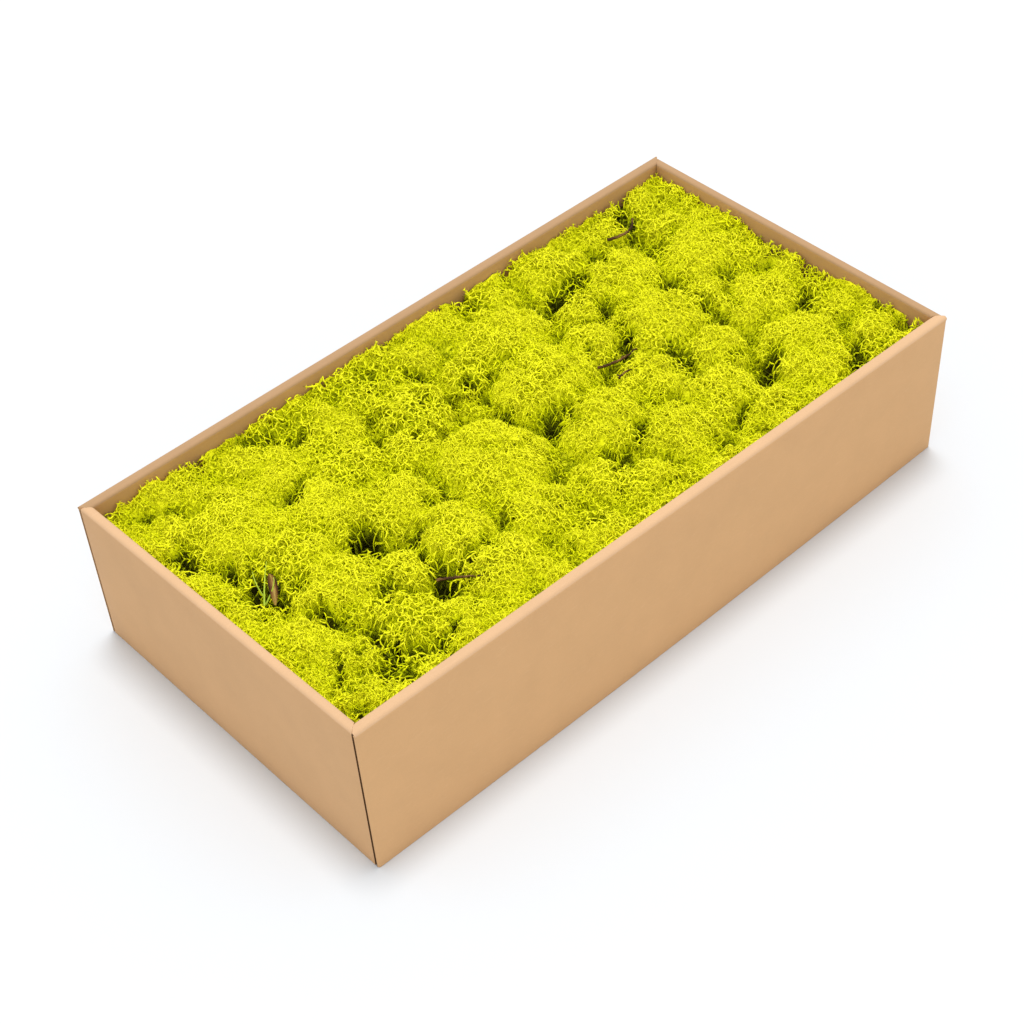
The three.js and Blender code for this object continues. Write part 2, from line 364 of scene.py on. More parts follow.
# One wall, made as the near long wall is and then turned into its place
def makeWall(name, side, halfRun, out, depth, cut, turn, bow, foldedEnds):
    height, board = tray["height"], tray["board"]
    startClean()
    bpy.ops.mesh.primitive_plane_add(size=1, location=(0, -out, height / 2), rotation=(math.pi / 2, 0, 0))
    wall = named(name)
    wall.scale = (2 * halfRun, height, 1)
    applyPlace()

    # Over the rim and down the inside
    editPiece(wall)
    pickEdges(wall, lambda a, b: near(a.z, height) and near(b.z, height))
    bpy.ops.mesh.extrude_region_move(TRANSFORM_OT_translate={"value": (0, depth, 0)})
    bpy.ops.mesh.extrude_region_move(TRANSFORM_OT_translate={"value": (0, 0, wallLook["innerFoot"] - height)})

    # The two creases are rounded
    for crease, place in (("outerCrease", -out), ("innerCrease", depth - out)):
        pickEdges(wall, lambda a, b: all(near(end.z, height) and near(end.y, place) for end in (a, b)))
        bpy.ops.mesh.bevel(offset=wallLook[crease], segments=wallLook["creaseSteps"], affect="EDGES")

    # The rim and the inner panel end on the slanted cut
    (cutRun, cutDepth), (endRun, endDepth) = cut
    for end in (-1, 1):
        pickFaces(wall, lambda face: face.calc_center_median().y > -out + 0.0001)
        across = Vector((end * (cutRun - endRun), cutDepth - endDepth, 0))
        normal = Vector((across.y, -across.x, 0)) * -end
        if normal.x * end < 0:
            normal.negate()
        normal.normalize()
        bpy.ops.mesh.bisect(plane_co=(end * cutRun, cutDepth - out, 0), plane_no=normal, clear_outer=True)

    # Rows and columns let the sheet bow a little
    reach, spaces = halfRun * wallLook["columnReach"], wallLook["columns"] + 1
    cutAcross([(2 * column / spaces - 1) * reach for column in range(1, spaces)], (1, 0, 0))
    cutAcross(wallLook["rows"], (0, 0, 1))
    bpy.ops.object.mode_set(mode="OBJECT")
    for corner in wall.data.vertices:
        share = max(0.0, 1 - (corner.co.x / halfRun) ** 2)
        low = 1 - corner.co.z / height
        outside = corner.co.y < -out + 0.0001
        if outside:
            corner.co.y -= bow["foot"] * share * low + bow["middle"] * share * 4 * low * (1 - low)
        corner.co.y += bow["rim"] * share * (1 - low)

    # Board thickness goes inwards
    if sum(face.normal.y for face in wall.data.polygons if face.center.y < -out + 0.0001) > 0:
        editPiece(wall)
        bpy.ops.mesh.select_all(action="SELECT")
        bpy.ops.mesh.flip_normals()
        bpy.ops.object.mode_set(mode="OBJECT")
    solid = wall.modifiers.new("thickness", "SOLIDIFY")
    solid.thickness = board
    solid.offset = -1
    solid.use_even_offset = True
    applyModifiers(wall)

    if foldedEnds:
        editPiece(wall)
        pickEdges(wall, lambda a, b: near(abs(a.x), halfRun) and near(abs(b.x), halfRun)
                  and a.y < -out + 0.0002 and b.y < -out + 0.0002 and abs(a.z - b.z) > 0.002)
        bpy.ops.mesh.bevel(offset=wallLook["cornerFold"], segments=4, affect="EDGES")
        bpy.ops.object.mode_set(mode="OBJECT")
    rounding = wall.modifiers.new("rounding", "BEVEL")
    rounding.width = wallLook["edgeRound"]
    rounding.segments = 2
    rounding.limit_method = "ANGLE"
    rounding.angle_limit = math.radians(50)
    applyModifiers(wall)

    # Finishes: outside, inside, the folded rim and the raw ends of the board, some painted with light and
    # shade as noted below
    # The end walls take the darker copy of the outside colour: painted shade
    outside = "kraftOutside" if foldedEnds else "kraftEndOutsidePaintedShade"
    # Near and left rims get the lighter copy (painted light), far and right rims the darker copy (painted
    # shade)
    fold = "kraftFoldShaded" if side in ("far_long_wall", "right_end_wall") else "kraftFoldPaintedLight"
    for key in (outside, "kraftInside", fold, "kraftRawEdgePaintedShade"):
        wall.data.materials.append(boards[key])
    for face in wall.data.polygons:
        centre = face.center
        if centre.z > height - wallLook["foldDrop"] and face.normal.z > 0.2:
            face.material_index = 2
        # Raw ends of the board at the slits and mitres take the near-black colour: painted shade
        elif abs(face.normal.x) > 0.8 and abs(centre.x) > endRun - 0.002 and not (
                foldedEnds and abs(centre.x) > halfRun - 0.0015 and centre.y < -out + 0.0012):
            face.material_index = 3
        elif centre.y > -out + board * 0.7:
            face.material_index = 1
        else:
            face.material_index = 0
    wall.rotation_euler = (0, 0, turn)
    takeUp(wall)
    applyPlace()
    smoothByAngle(wall, wallLook["smoothAngle"])
    return hand(wall, "kraft_outside", side + "_outer_panel", side + "_rim", side + "_inner_panel")


def makeWalls():
    length, width = tray["halfLength"], tray["halfWidth"]
    gap, start = wallLook["cornerSlit"] / 2, wallLook["rimStart"]
    longDepth, endDepth = width - tray["longInner"], length - tray["endInner"]
    slope = endDepth / longDepth
    part = wallLook["rimGap"] / 2
    longCut = ((length, start - part), (length - (longDepth - start) * slope - part, longDepth))
    endRun = width - start - gap
    cutRun = width - start - part
    endCut = ((cutRun, 0.0), (cutRun - longDepth + start, endDepth))
    straight = {"foot": 0, "middle": 0.3 * mm, "rim": 0}
    nearBow = {"foot": 1.4 * mm, "middle": 0.2 * mm, "rim": 0}
    longSizes, endSizes = (length, width, longDepth, longCut), (endRun, length, endDepth, endCut)
    return [
        makeWall("nearLongWall", "near_long_wall", *longSizes, 0, nearBow, True),
        makeWall("farLongWall", "far_long_wall", *longSizes, math.pi, straight, True),
        makeWall("leftEndWall", "left_end_wall", *endSizes, -math.pi / 2, straight, False),
        makeWall("rightEndWall", "right_end_wall", *endSizes, math.pi / 2, straight, False),
    ]


# Corner flaps lie inside the end walls and show only through the slits
def makeFlap(endName, sideName):
    node = "corner_flap_%s_%s" % (endName, sideName)
    low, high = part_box(node)
    startClean()
    bpy.ops.mesh.primitive_cube_add(size=1, location=(low + high) / 2)
    flap = named("cornerFlap" + endName.title() + sideName.title())
    flap.scale = high - low
    applyPlace()
    editPiece(flap)
    free = high.y if sideName == "near" else low.y
    pickEdges(flap, lambda a, b: near(a.y, free) and near(b.y, free) and near(a.z, b.z))
    bpy.ops.mesh.bevel(offset=14 * mm, segments=1, affect="EDGES")
    pickEdges(flap, lambda a, b: near(a.x, b.x))
    bpy.ops.mesh.bevel(offset=0.2 * mm, segments=2, affect="EDGES")
    bpy.ops.object.mode_set(mode="OBJECT")
    # The flap is painted near-black as the shade inside the slit
    flap.data.materials.append(boards["kraftHiddenPaintedShade"])
    smoothByAngle(flap, wallLook["smoothAngle"])
    return hand(flap, "kraft_inside", node)


# The base lies inside the four walls
def makeBase():
    low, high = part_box("base_panel")
    startClean()
    bpy.ops.mesh.primitive_cube_add(size=1, location=(low + high) / 2)
    base = named("basePanel")
    base.scale = high - low
    applyPlace()
    editPiece(base)
    bpy.ops.mesh.select_all(action="SELECT")
    bpy.ops.mesh.bevel(offset=0.25 * mm, segments=2, affect="EDGES")
    bpy.ops.object.mode_set(mode="OBJECT")
    base.data.materials.append(boards["kraftInside"])
    smoothByAngle(base, wallLook["smoothAngle"])
    return hand(base, "kraft_inside", "base_panel")


walls = makeWalls()
flaps = [makeFlap(endName, sideName) for endName in ("left", "right") for sideName in ("near", "far")]
base = makeBase()
print("walls rolled")


# Moss
# Domes of the moss bed: middle x, middle y, radius and top, in mm
domes = [
    (-184, 88, 16, 79), (-152, 88, 22, 84), (-178, 66, 20, 84), (-118, 84, 20, 85), (-84, 92, 16, 82),
    (-140, 64, 18, 84), (-152, 48, 24, 87), (-105, 66, 20, 85), (-70, 74, 20, 85), (-82, 44, 22, 85),
    (-40, 82, 20, 84), (-8, 88, 20, 85), (-32, 54, 22, 85), (-188, 28, 14, 81), (-142, 18, 26, 87),
    (-108, 26, 22, 88), (-50, 28, 16, 84), (-82, 4, 22, 86), (-182, -6, 14, 83), (-140, -20, 24, 86),
    (-178, -34, 20, 84), (-112, -32, 13, 83), (-78, -32, 22, 87), (-32, -8, 30, 88), (-165, -55, 18, 82),
    (-132, -56, 20, 84), (-178, -84, 16, 83), (-146, -84, 10, 80), (-112, -82, 20, 85), (-75, -64, 24, 86),
    (-66, -90, 18, 85), (-38, -48, 20, 86), (-30, -84, 20, 85), (0, -55, 18, 83), (25, 92, 18, 84),
    (40, 62, 26, 87), (60, 92, 14, 84), (97, 88, 24, 88), (134, 88, 17, 86), (178, 90, 20, 85),
    (86, 50, 13, 81), (120, 52, 22, 87), (178, 62, 20, 85), (8, 55, 14, 82), (32, 20, 26, 88),
    (70, 24, 14, 85), (107, 12, 24, 88), (168, 34, 26, 88), (144, 10, 12, 82), (32, -27, 24, 88),
    (72, -18, 20, 85), (85, -50, 22, 87), (112, -24, 16, 85), (160, -12, 22, 85), (188, -8, 14, 84),
    (150, -52, 22, 86), (185, -45, 18, 84), (52, -58, 22, 86), (15, -78, 20, 84), (60, -88, 16, 83),
    (98, -78, 20, 84), (136, -76, 20, 86), (182, -82, 20, 85),
]
# Hollows: middle x, middle y, half length, half width (mm), heading (degrees), darkness (how much painted
# shade the hollow gets; it also sets how deep it is)
hollows = [
    (-191, 100, 4, 3, 0, 0.9), (-181, 47, 9, 5, 75, 0.95), (-190, 53, 5, 3, 0, 0.85),
    (-177, 34, 3.5, 3, 0, 0.8), (-170, 29, 6, 4.5, 20, 0.9), (-157, 22, 3.5, 3, -30, 0.6),
    (-165, 14, 7, 2.5, 80, 0.95), (-170, 4, 9, 4, 50, 1), (-166, -4, 7, 3.2, 0, 1),
    (-161, 6, 5, 2, 75, 0.9), (-179, 3, 2.5, 2.5, 0, 0.55), (-151, -7, 3, 3, 0, 0.7),
    (-190, 7, 2, 2, 0, 0.6), (-177, -11, 3, 2, -60, 0.5), (-159, -28, 6.5, 4, -50, 0.95),
    (-154, -35, 3.5, 2.5, -60, 0.85), (-146, -34, 4, 2.5, 0, 0.55), (-129, -40, 4, 2, 10, 0.85),
    (-124, -34, 5, 2, 75, 0.75), (-120, -43, 3, 2.5, 0, 0.75), (-113, 47, 10, 4.5, 25, 0.9),
    (-144, 66, 2.5, 2.5, 0, 0.5), (-165, 79, 4, 4, 0, 0.65), (-175, 87, 5, 2, -20, 0.55),
    (-137, 100, 4, 2.5, 90, 0.95), (-107, 94, 6, 3, 0, 0.5), (-106, 86, 3, 2, 90, 0.6),
    (-97, 90, 5, 2, -50, 0.5), (-88, 76, 4, 3, 0, 0.9), (-80, 79, 5, 1.5, 10, 0.55),
    (-63, 102, 4, 2, 90, 0.65), (-49, 61, 6, 3, 0, 0.8), (-45, 55, 2.5, 2, 0, 0.55),
    (-33, 84, 5, 3, 80, 0.55), (-13, 74, 5, 3, 80, 0.65), (-22, 55, 4.5, 3, -60, 0.7),
    (-62, 47, 3, 2.5, 0, 0.9), (-48, 46, 2, 2, 0, 0.6), (-46, 35, 3.5, 3, 0, 0.95),
    (-39, 34, 2.5, 2, 0, 0.75), (-34, 26, 4.5, 4, 0, 0.9), (-27, 22, 4, 2, 20, 0.9),
    (-12, 46, 5, 2.5, 70, 0.95), (-17, 45, 2, 2, 0, 0.7), (-12, 35, 4, 2.5, -40, 0.9),
    (0, 18, 4.5, 3, 60, 0.8), (-73, 22, 6, 2, 20, 0.55), (-62, 11, 4, 2, 20, 0.65),
    (-109, 0, 9, 5.5, 80, 0.95), (-118, -3, 5, 4, 0, 0.55), (-104, -17, 7, 3, -30, 0.95),
    (-92, -20, 9, 2.5, 20, 0.9), (-99, -28, 5, 2.5, 80, 0.95), (-99, -49, 11, 5.5, 80, 1),
    (-102, -56, 5, 4.5, 0, 1), (-93, -62, 6, 1.5, -65, 0.9), (-83, -50, 4, 2.5, 10, 0.9),
    (-73, -48, 3, 1.5, 45, 0.65), (-73, -5, 3, 2.5, 0, 0.9), (-65, -13, 4, 3, 0, 0.95),
    (-62, -7, 6, 2.5, 60, 0.8), (-70, -10, 5, 2, -45, 0.85), (-29, -5, 5, 3, 20, 0.5),
    (-55, -41, 4, 2, 10, 0.65), (-14, -36, 6, 3, 50, 0.95), (-5, -22, 5, 1.5, 55, 0.6),
    (-9, -48, 2.5, 2, 0, 0.7), (-27, -52, 9, 2, -20, 0.6), (-22, -75, 3.5, 3, 90, 0.9),
    (-29, -73, 4, 2, 0, 0.55), (-52, -90, 4, 2.5, 40, 0.95), (-44, -80, 5, 1.3, 55, 0.6),
    (-170, -56, 3, 3, 0, 0.9), (-157, -56, 3, 2, 0, 0.65), (-148, -56, 6, 3, 70, 0.9),
    (-178, -67, 8, 2, 40, 0.85), (-165, -68, 7, 2, -15, 0.7), (-175, -76, 5, 3, -10, 0.8),
    (-155, -80, 11, 5.5, 85, 1), (-147, -66, 4, 2, 10, 0.9), (-138, -74, 6, 3, -40, 0.95),
    (-131, -84, 7, 3, 70, 1), (-121, -78, 6, 2, 20, 0.9), (-188, -88, 3, 2.5, 0, 0.9),
    (-182, -87, 3, 2.5, 0, 0.8), (-99, -73, 5, 2, -30, 0.6), (-79, -88, 3, 2, 0, 0.5),
    (43, 98, 5, 3, 90, 0.95), (43, 90, 3, 2, 90, 0.6), (68, 90, 2.5, 2.5, 0, 0.8),
    (64, 72, 2.5, 2.5, 0, 0.85), (84, 66, 7, 6.5, 0, 0.95), (96, 67, 7, 4, 20, 0.8),
    (106, 66, 4, 2, -50, 0.9), (122, 74, 8, 5, 70, 0.6), (136, 91, 3.5, 2.5, 0, 0.8),
    (137, 75, 4, 2, 0, 0.65), (156, 85, 6, 4.5, 90, 1), (148, 74, 6, 2.2, 20, 0.95),
    (162, 93, 2.5, 2.5, 0, 0.85), (150, 101, 6, 3, 0, 0.8), (165, 99, 6, 2.5, 0, 0.85),
    (181, 82, 2, 2, 0, 0.6), (147, 57, 5, 2.5, 80, 0.85), (156, 56, 3.5, 2.5, 70, 0.65),
    (169, 58, 3, 2.5, 0, 0.9), (3, 48, 4, 3, -30, 0.85), (3, 37, 2.5, 2, 0, 0.75),
    (17, 42, 3.5, 2.5, 90, 0.9), (27, 44, 2, 2, 0, 0.75), (96, 43, 8, 3.5, 75, 0.85),
    (85, 35, 4, 3, 20, 0.85), (80, 40, 4, 2.5, 80, 0.6), (137, 30, 7, 2.5, 70, 0.75),
    (125, 38, 3, 2, 0, 0.55), (101, 30, 4, 2, 20, 0.5), (90, 22, 4.5, 1.8, 35, 0.9), (84, 13, 5.5, 5, 0, 1),
    (80, 5, 5, 2.5, 60, 0.95), (62, 19, 3, 2, 10, 0.85), (61, 3, 4, 2.5, 0, 0.95), (73, 1, 7, 2.5, 15, 1),
    (18, -5, 10, 8, -30, 0.9), (35, -3, 7, 1.5, -60, 0.65), (18, -17, 3, 2.5, 0, 0.9),
    (91, -14, 8, 5, -40, 0.7), (95, -24, 3, 2, 20, 0.9), (98, -5, 4, 1.5, 60, 0.65),
    (53, -30, 4, 2, 20, 0.6), (88, -33, 4, 3.5, 0, 0.95), (80, -36, 3, 1.8, 20, 0.9),
    (68, -41, 5, 2.8, 85, 0.9), (38, -43, 8, 2, 30, 0.9), (15, -45, 4, 3, 0, 0.7), (14, -55, 7, 3, 10, 0.9),
    (20, -52, 4, 2.5, 60, 0.85), (32, -67, 5, 3, 50, 0.95), (30, -78, 2.5, 2, 0, 0.85),
    (83, -70, 8, 2, 30, 0.9), (63, -82, 6, 3, 35, 0.9), (53, -84, 4, 2.5, 20, 0.85),
    (57, -75, 3, 2.5, 40, 0.75), (78, -92, 5, 3, 25, 0.95), (15, -83, 8, 2, -15, 0.6),
    (30, -92, 7, 2, 0, 0.65), (116, -58, 10, 4, 40, 1), (128, -50, 6, 3, 20, 0.95),
    (119, -37, 6, 3, -10, 0.65), (134, 2, 3, 3, 0, 0.75), (133, -10, 5, 3, 30, 0.65),
    (152, 3, 3, 1.8, 10, 0.95), (146, -8, 6, 2, 60, 0.55), (160, 13, 8, 5, -20, 0.6),
    (184, 2, 3, 3, 0, 0.9), (177, 9, 6, 1.5, -60, 0.65), (193, 11, 4, 3, 90, 0.9),
    (147, -33, 3, 2.5, 0, 0.7), (173, -34, 6, 4, 40, 0.8), (179, -29, 2.5, 2, 0, 0.8),
    (155, -85, 8, 4.5, 40, 1), (164, -77, 6, 2, 20, 0.95), (161, -64, 7, 2, 10, 0.55),
    (138, -92, 4, 2.5, 0, 0.75), (104, -94, 5, 2, 0, 0.85), (175, -88, 3, 2, 0, 0.65),
    (193, -68, 4, 3, 90, 0.9), (190, -92, 5, 4, 0, 0.95),
]
# Open patches, where the moss is a net of loose threads: middle x, middle y, radius (mm)
openPatches = [
    (-84, 88, 18), (-82, 44, 18), (-40, 84, 20), (-32, 50, 20), (-132, -56, 22), (8, 52, 14),
    (-100, 88, 12), (-50, 92, 14), (90, -15, 14), (135, 30, 12), (135, 8, 12), (-150, 8, 16),
    (-182, 42, 12), (10, -60, 16), (-108, -6, 18), (-99, -52, 18), (-168, 3, 18), (72, 4, 14),
    (92, 64, 14), (156, 84, 14), (120, -54, 14), (158, -84, 16), (-150, -80, 16), (-45, 34, 10),
    (-60, 46, 10), (45, 92, 12), (150, 56, 12), (176, -34, 12), (-124, -40, 12), (-22, -75, 12),
]
# Clumps as they stand in the frame: middle x, middle y and spread (mm)
clumps = [
    (-166, 82, 41), (-112, 82, 37), (-73, 82, 34), (-33, 82, 34), (8, 86, 34), (50, 78, 38), (97, 86, 34),
    (137, 87, 28), (178, 84, 33), (-155, 47, 35), (-108, 34, 35), (-68, 40, 33), (-26, 42, 33), (76, 32, 29),
    (120, 50, 32), (170, 40, 39), (-186, 12, 30), (-145, 4, 34), (-88, -2, 33), (-40, -4, 37), (26, 22, 40),
    (108, 10, 35), (156, -8, 34), (-178, -36, 33), (-134, -36, 33), (-78, -36, 29), (-14, -44, 37),
    (32, -28, 33), (76, -24, 29), (118, -34, 30), (-168, -80, 35), (-118, -78, 34), (-66, -74, 37),
    (-20, -84, 33), (30, -72, 38), (86, -66, 37), (142, -66, 38), (184, -62, 40),
]
mossBed = {
    "domeShare": 1.25,         # a dome reaches this much past its radius
    "domeDepth": 0.95,         # its height, against its radius
    "leastDepth": 8.0,
    "mostDepth": 21.0,
    "valley": 71.0,            # no dip outside the hollows is lower than this
    "merge": 1.1,              # how sharply neighbouring domes meet
    "edge": 87.0,              # the moss climbs to this height against the walls
    "edgeSlope": 0.5,
    "knobs": 4.2,
    "knobSpacing": 12.0,
    "beads": 1.2,
    "beadSpacing": 6.2,
    "roll": 1.4,
    "coreDrop": 1.8,
    "wallGap": 0.25,
    "hollowDepth": 9.5,
    "hollowExtra": 0.6,
    "hollowRagged": 0.7,
    "hollowWander": 5.0,       # the outlines of the hollows are pushed about by half of this
}


def softNoise(x, y, size, seed):
    grid = np.random.default_rng(seed).random((96, 96))
    u, v = x / size + 48, y / size + 48
    column, row = np.floor(u).astype(int), np.floor(v).astype(int)
    fu, fv = u - column, v - row
    fu, fv = fu * fu * (3 - 2 * fu), fv * fv * (3 - 2 * fv)
    a, b = grid[row % 96, column % 96], grid[row % 96, (column + 1) % 96]
    c, d = grid[(row + 1) % 96, column % 96], grid[(row + 1) % 96, (column + 1) % 96]
    return (a * (1 - fu) + b * fu) * (1 - fv) + (c * (1 - fu) + d * fu) * fv


# Small round knobs, like those on a cauliflower head
def knobs(x, y, spacing, seed):
    shifts = np.random.default_rng(seed).random((96, 96, 3))
    column, row = np.floor(x / spacing + 48).astype(int), np.floor(y / spacing + 48).astype(int)
    best = np.zeros_like(x)
    for stepX in (-1, 0, 1):
        for stepY in (-1, 0, 1):
            i, j = column + stepX, row + stepY
            jitter = shifts[j % 96, i % 96]
            knobX = (i - 48 + 0.15 + 0.7 * jitter[..., 0]) * spacing
            knobY = (j - 48 + 0.15 + 0.7 * jitter[..., 1]) * spacing
            reach = spacing * (0.50 + 0.16 * jitter[..., 2])
            away = ((x - knobX) ** 2 + (y - knobY) ** 2) / reach ** 2
            best = np.maximum(best, np.sqrt(np.clip(1 - away, 0, 1)) * (0.6 + 0.4 * jitter[..., 2]))
    return best


# How deep a point lies in the hollows (mm) and how much painted shade it gets there
def hollowAt(x, y):
    ragged = softNoise(x, y, 4.5, 11) - 0.5 + 0.6 * (softNoise(x, y, 2.0, 12) - 0.5)
    pushX, pushY = (mossBed["hollowWander"] * (softNoise(x, y, 6.5, seed) - 0.5) for seed in (13, 14))
    x, y = x + pushX, y + pushY
    depth, dark = np.zeros_like(x), np.zeros_like(x)
    for middleX, middleY, halfLength, halfWidth, heading, darkness in hollows:
        turn = math.radians(heading)
        halfLength, halfWidth = halfLength + mossBed["hollowExtra"], halfWidth + mossBed["hollowExtra"]
        along = (x - middleX) * math.cos(turn) + (y - middleY) * math.sin(turn)
        across = (y - middleY) * math.cos(turn) - (x - middleX) * math.sin(turn)
        away = np.sqrt((along / halfLength) ** 2 + (across / halfWidth) ** 2)
        away += mossBed["hollowRagged"] * ragged
        share = np.clip((1.45 - away) / 0.9, 0, 1)
        share = share * share * (3 - 2 * share)
        deep = mossBed["hollowDepth"] * darkness ** 1.5 * min(1, 0.35 + halfWidth / 5)
        depth = np.maximum(depth, deep * share)
        dark = np.maximum(dark, darkness * share)
    return depth, dark


# Height of the moss (mm) and its painted shade over the plan
def shapeBed(x, y):
    total = np.exp(mossBed["merge"] * (mossBed["valley"] - 80)) * np.ones_like(x)
    toWall = np.minimum(tray["endInner"] * 1000 - np.abs(x), tray["longInner"] * 1000 - np.abs(y))
    total += np.exp(mossBed["merge"] * (mossBed["edge"] - mossBed["edgeSlope"] * toWall - 80))
    for middleX, middleY, radius, top in domes:
        reach = radius * mossBed["domeShare"]
        deep = min(max(radius * mossBed["domeDepth"], mossBed["leastDepth"]), mossBed["mostDepth"])
        away = np.hypot(x - middleX, y - middleY) / reach
        cap = top - deep * (1 - np.sqrt(np.clip(1 - away ** 2, 0, 1))) - deep * 3 * np.clip(away - 1, 0, 3)
        total += np.exp(mossBed["merge"] * (cap - 80))
    height = 80 + np.log(total) / mossBed["merge"]
    height += mossBed["roll"] * (softNoise(x, y, 23, 5) - 0.5) * 2
    height += mossBed["knobs"] * (knobs(x, y, mossBed["knobSpacing"], 21) - 0.62)
    height += mossBed["beads"] * (knobs(x, y, mossBed["beadSpacing"], 22) - 0.6)
    depth, dark = hollowAt(x, y)
    return height - depth, dark, depth


# The bed is worked out once on a fine grid (mm) and read from it afterwards
gridStep = 0.5
gridX = np.arange(-200, 200.1, gridStep)
gridY = np.arange(-104, 104.1, gridStep)
bedHeight, bedDark, bedDepth = shapeBed(*np.meshgrid(gridX, gridY, indexing="ij"))


def readGrid(field, x, y):
    u = np.clip((x - gridX[0]) / gridStep, 0, len(gridX) - 1.001)
    v = np.clip((y - gridY[0]) / gridStep, 0, len(gridY) - 1.001)
    i, j = u.astype(int), v.astype(int)
    fu, fv = u - i, v - j
    return (field[i, j] * (1 - fu) + field[i + 1, j] * fu) * (1 - fv) + (
        field[i, j + 1] * (1 - fu) + field[i + 1, j + 1] * fu) * fv


def mossHeight(x, y):
    return readGrid(bedHeight, x, y), readGrid(bedDark, x, y)


# 0 where the moss is a dense head, 1 where it is an open net of loose threads
def loosenessAt(x, y):
    loose = 0.15 + 0.9 * (softNoise(x, y, 16, 31) - 0.42)
    for middleX, middleY, radius in openPatches:
        away = np.hypot(x - middleX, y - middleY) / radius
        loose = np.maximum(loose, 1.15 - away ** 2 * 0.9)
    return np.clip(loose, 0, 1)


# Which clump a point belongs to
def clumpAt(x, y):
    middles = np.array(clumps, float)
    away = (x[:, None] - middles[None, :, 0]) ** 2 + (y[:, None] - middles[None, :, 1]) ** 2
    return np.argmin(away - middles[None, :, 2] ** 2, axis=1)


# One sprig: a stalk that forks into three branches of three tips, built like the real one
sprigLooks = {
    "dense": {"stalk": 2.8 * mm, "foot": 0.3 * mm, "neck": 0.44 * mm, "rise": 0.26 * mm,
              "steps": (1.9 * mm,), "thin": 0.80, "tipRise": 0.20 * mm, "tip": 1.6 * mm,
              "droop": 0.0, "jitter": 0.26 * mm},
    "loose": {"stalk": 4.0 * mm, "foot": 0.35 * mm, "neck": 0.50 * mm, "rise": 0.42 * mm,
              "steps": (2.0 * mm, 1.8 * mm), "thin": 0.90, "tipRise": 0.28 * mm, "tip": 1.6 * mm,
              "droop": 20.0, "jitter": 0.36 * mm},
}


def growSprig(name, look, seed):
    startClean()
    draw = np.random.default_rng(seed)
    bpy.ops.mesh.primitive_cone_add(vertices=3, radius1=look["foot"], radius2=look["neck"],
                                    depth=look["stalk"], end_fill_type="NGON",
                                    location=(0, 0, -look["stalk"] / 2))
    sprig = named(name)
    applyPlace()
    editPiece(sprig)
    pickFaces(sprig, lambda face: face.normal.z > 0.9)
    bpy.ops.mesh.poke(offset=look["rise"])
    for step in look["steps"]:
        bpy.ops.mesh.extrude_faces_move(TRANSFORM_OT_shrink_fatten={"value": step})
        shape = bmesh.from_edit_mesh(sprig.data)
        for face in [face for face in shape.faces if face.select]:
            middle = face.calc_center_median()
            lean = Vector(draw.normal(0, look["jitter"], 3))
            for corner in face.verts:
                corner.co = middle + (corner.co - middle) * look["thin"] + lean
        bmesh.update_edit_mesh(sprig.data)
    bpy.ops.mesh.poke(offset=look["tipRise"])
    bpy.ops.mesh.extrude_faces_move(TRANSFORM_OT_shrink_fatten={"value": look["tip"]})
    bpy.ops.mesh.merge(type="COLLAPSE")
    bpy.ops.mesh.select_all(action="SELECT")
    bpy.ops.mesh.quads_convert_to_tris()
    bpy.ops.object.mode_set(mode="OBJECT")
    for corner in sprig.data.vertices:
        reach = corner.co.xy.length
        corner.co.z -= look["droop"] * reach ** 2
        if corner.co.z > 0:
            corner.co += Vector(draw.normal(0, look["jitter"] * 0.5, 3))
    return sprig


# A modelled piece's points (mm) and faces; the piece itself isn't kept
def takeShape(piece):
    mesh = piece.data
    points = np.empty(len(mesh.vertices) * 3)
    mesh.vertices.foreach_get("co", points)
    corners = np.empty(len(mesh.polygons) * 3, int)
    mesh.polygons.foreach_get("vertices", corners)
    points = points.reshape(-1, 3) * 1000
    bpy.data.objects.remove(piece)
    bpy.data.meshes.remove(mesh)
    return points, corners.reshape(-1, 3)


# Several sprigs of one kind, with their tips at height 0 and a tint that pales towards the tips: painted
# shade lower down and nearer the stalk
def settle(name, looks, count):
    shapes = []
    for number in range(count):
        points, corners = takeShape(growSprig(name + "Sprig", looks, 100 + number))
        top = np.percentile(points[:, 2], 92)
        points[:, 2] -= top
        foot = points[:, 2].min()
        level = np.clip((points[:, 2] - foot) / -foot, 0, 1)
        reach = np.hypot(points[:, 0], points[:, 1])
        spread = reach / reach.max()
        shapes.append((points, corners, 0.42 + 0.58 * np.clip(0.75 * level ** 1.5 + 0.35 * spread, 0, 1)))
    return shapes


scatterLook = {
    "denseSpacing": 3.5,
    "looseSpacing": 5.2,
    "looseEverywhere": 0.06,
    "variants": 6,
    "lean": 0.20,
    "size": (0.82, 1.22),
    "steepShare": 0.7,         # steep places get a second sprig this often
    "secondShift": 0.8,
    "darkLimit": 0.93,         # past this darkness only a few sprigs grow
    "darkShare": 0.10,
    "leastAim": 0.12,
    "lift": 1.1,               # how far the tips stand over the moss surface (mm)
    "liftSpread": 0.5,
    "looseLift": 0.2,
    "tone": (0.88, 1.06),
}


# Jittered points in a six-sided grid over the tray
def hexPoints(spacing, seed):
    draw = np.random.default_rng(seed)
    halfX, halfY = tray["endInner"] * 1000 - 0.6, tray["longInner"] * 1000 - 0.6
    rows = np.arange(-halfY, halfY, spacing * 0.866)
    columns = np.arange(-halfX, halfX, spacing)
    x, y = np.meshgrid(columns, rows)
    x = x + (np.arange(len(rows)) % 2)[:, None] * spacing / 2
    x = (x + draw.uniform(-0.38, 0.38, x.shape) * spacing).ravel()
    y = (y + draw.uniform(-0.38, 0.38, y.shape) * spacing).ravel()
    inside = (np.abs(x) < halfX) & (np.abs(y) < halfY)
    return x[inside], y[inside]


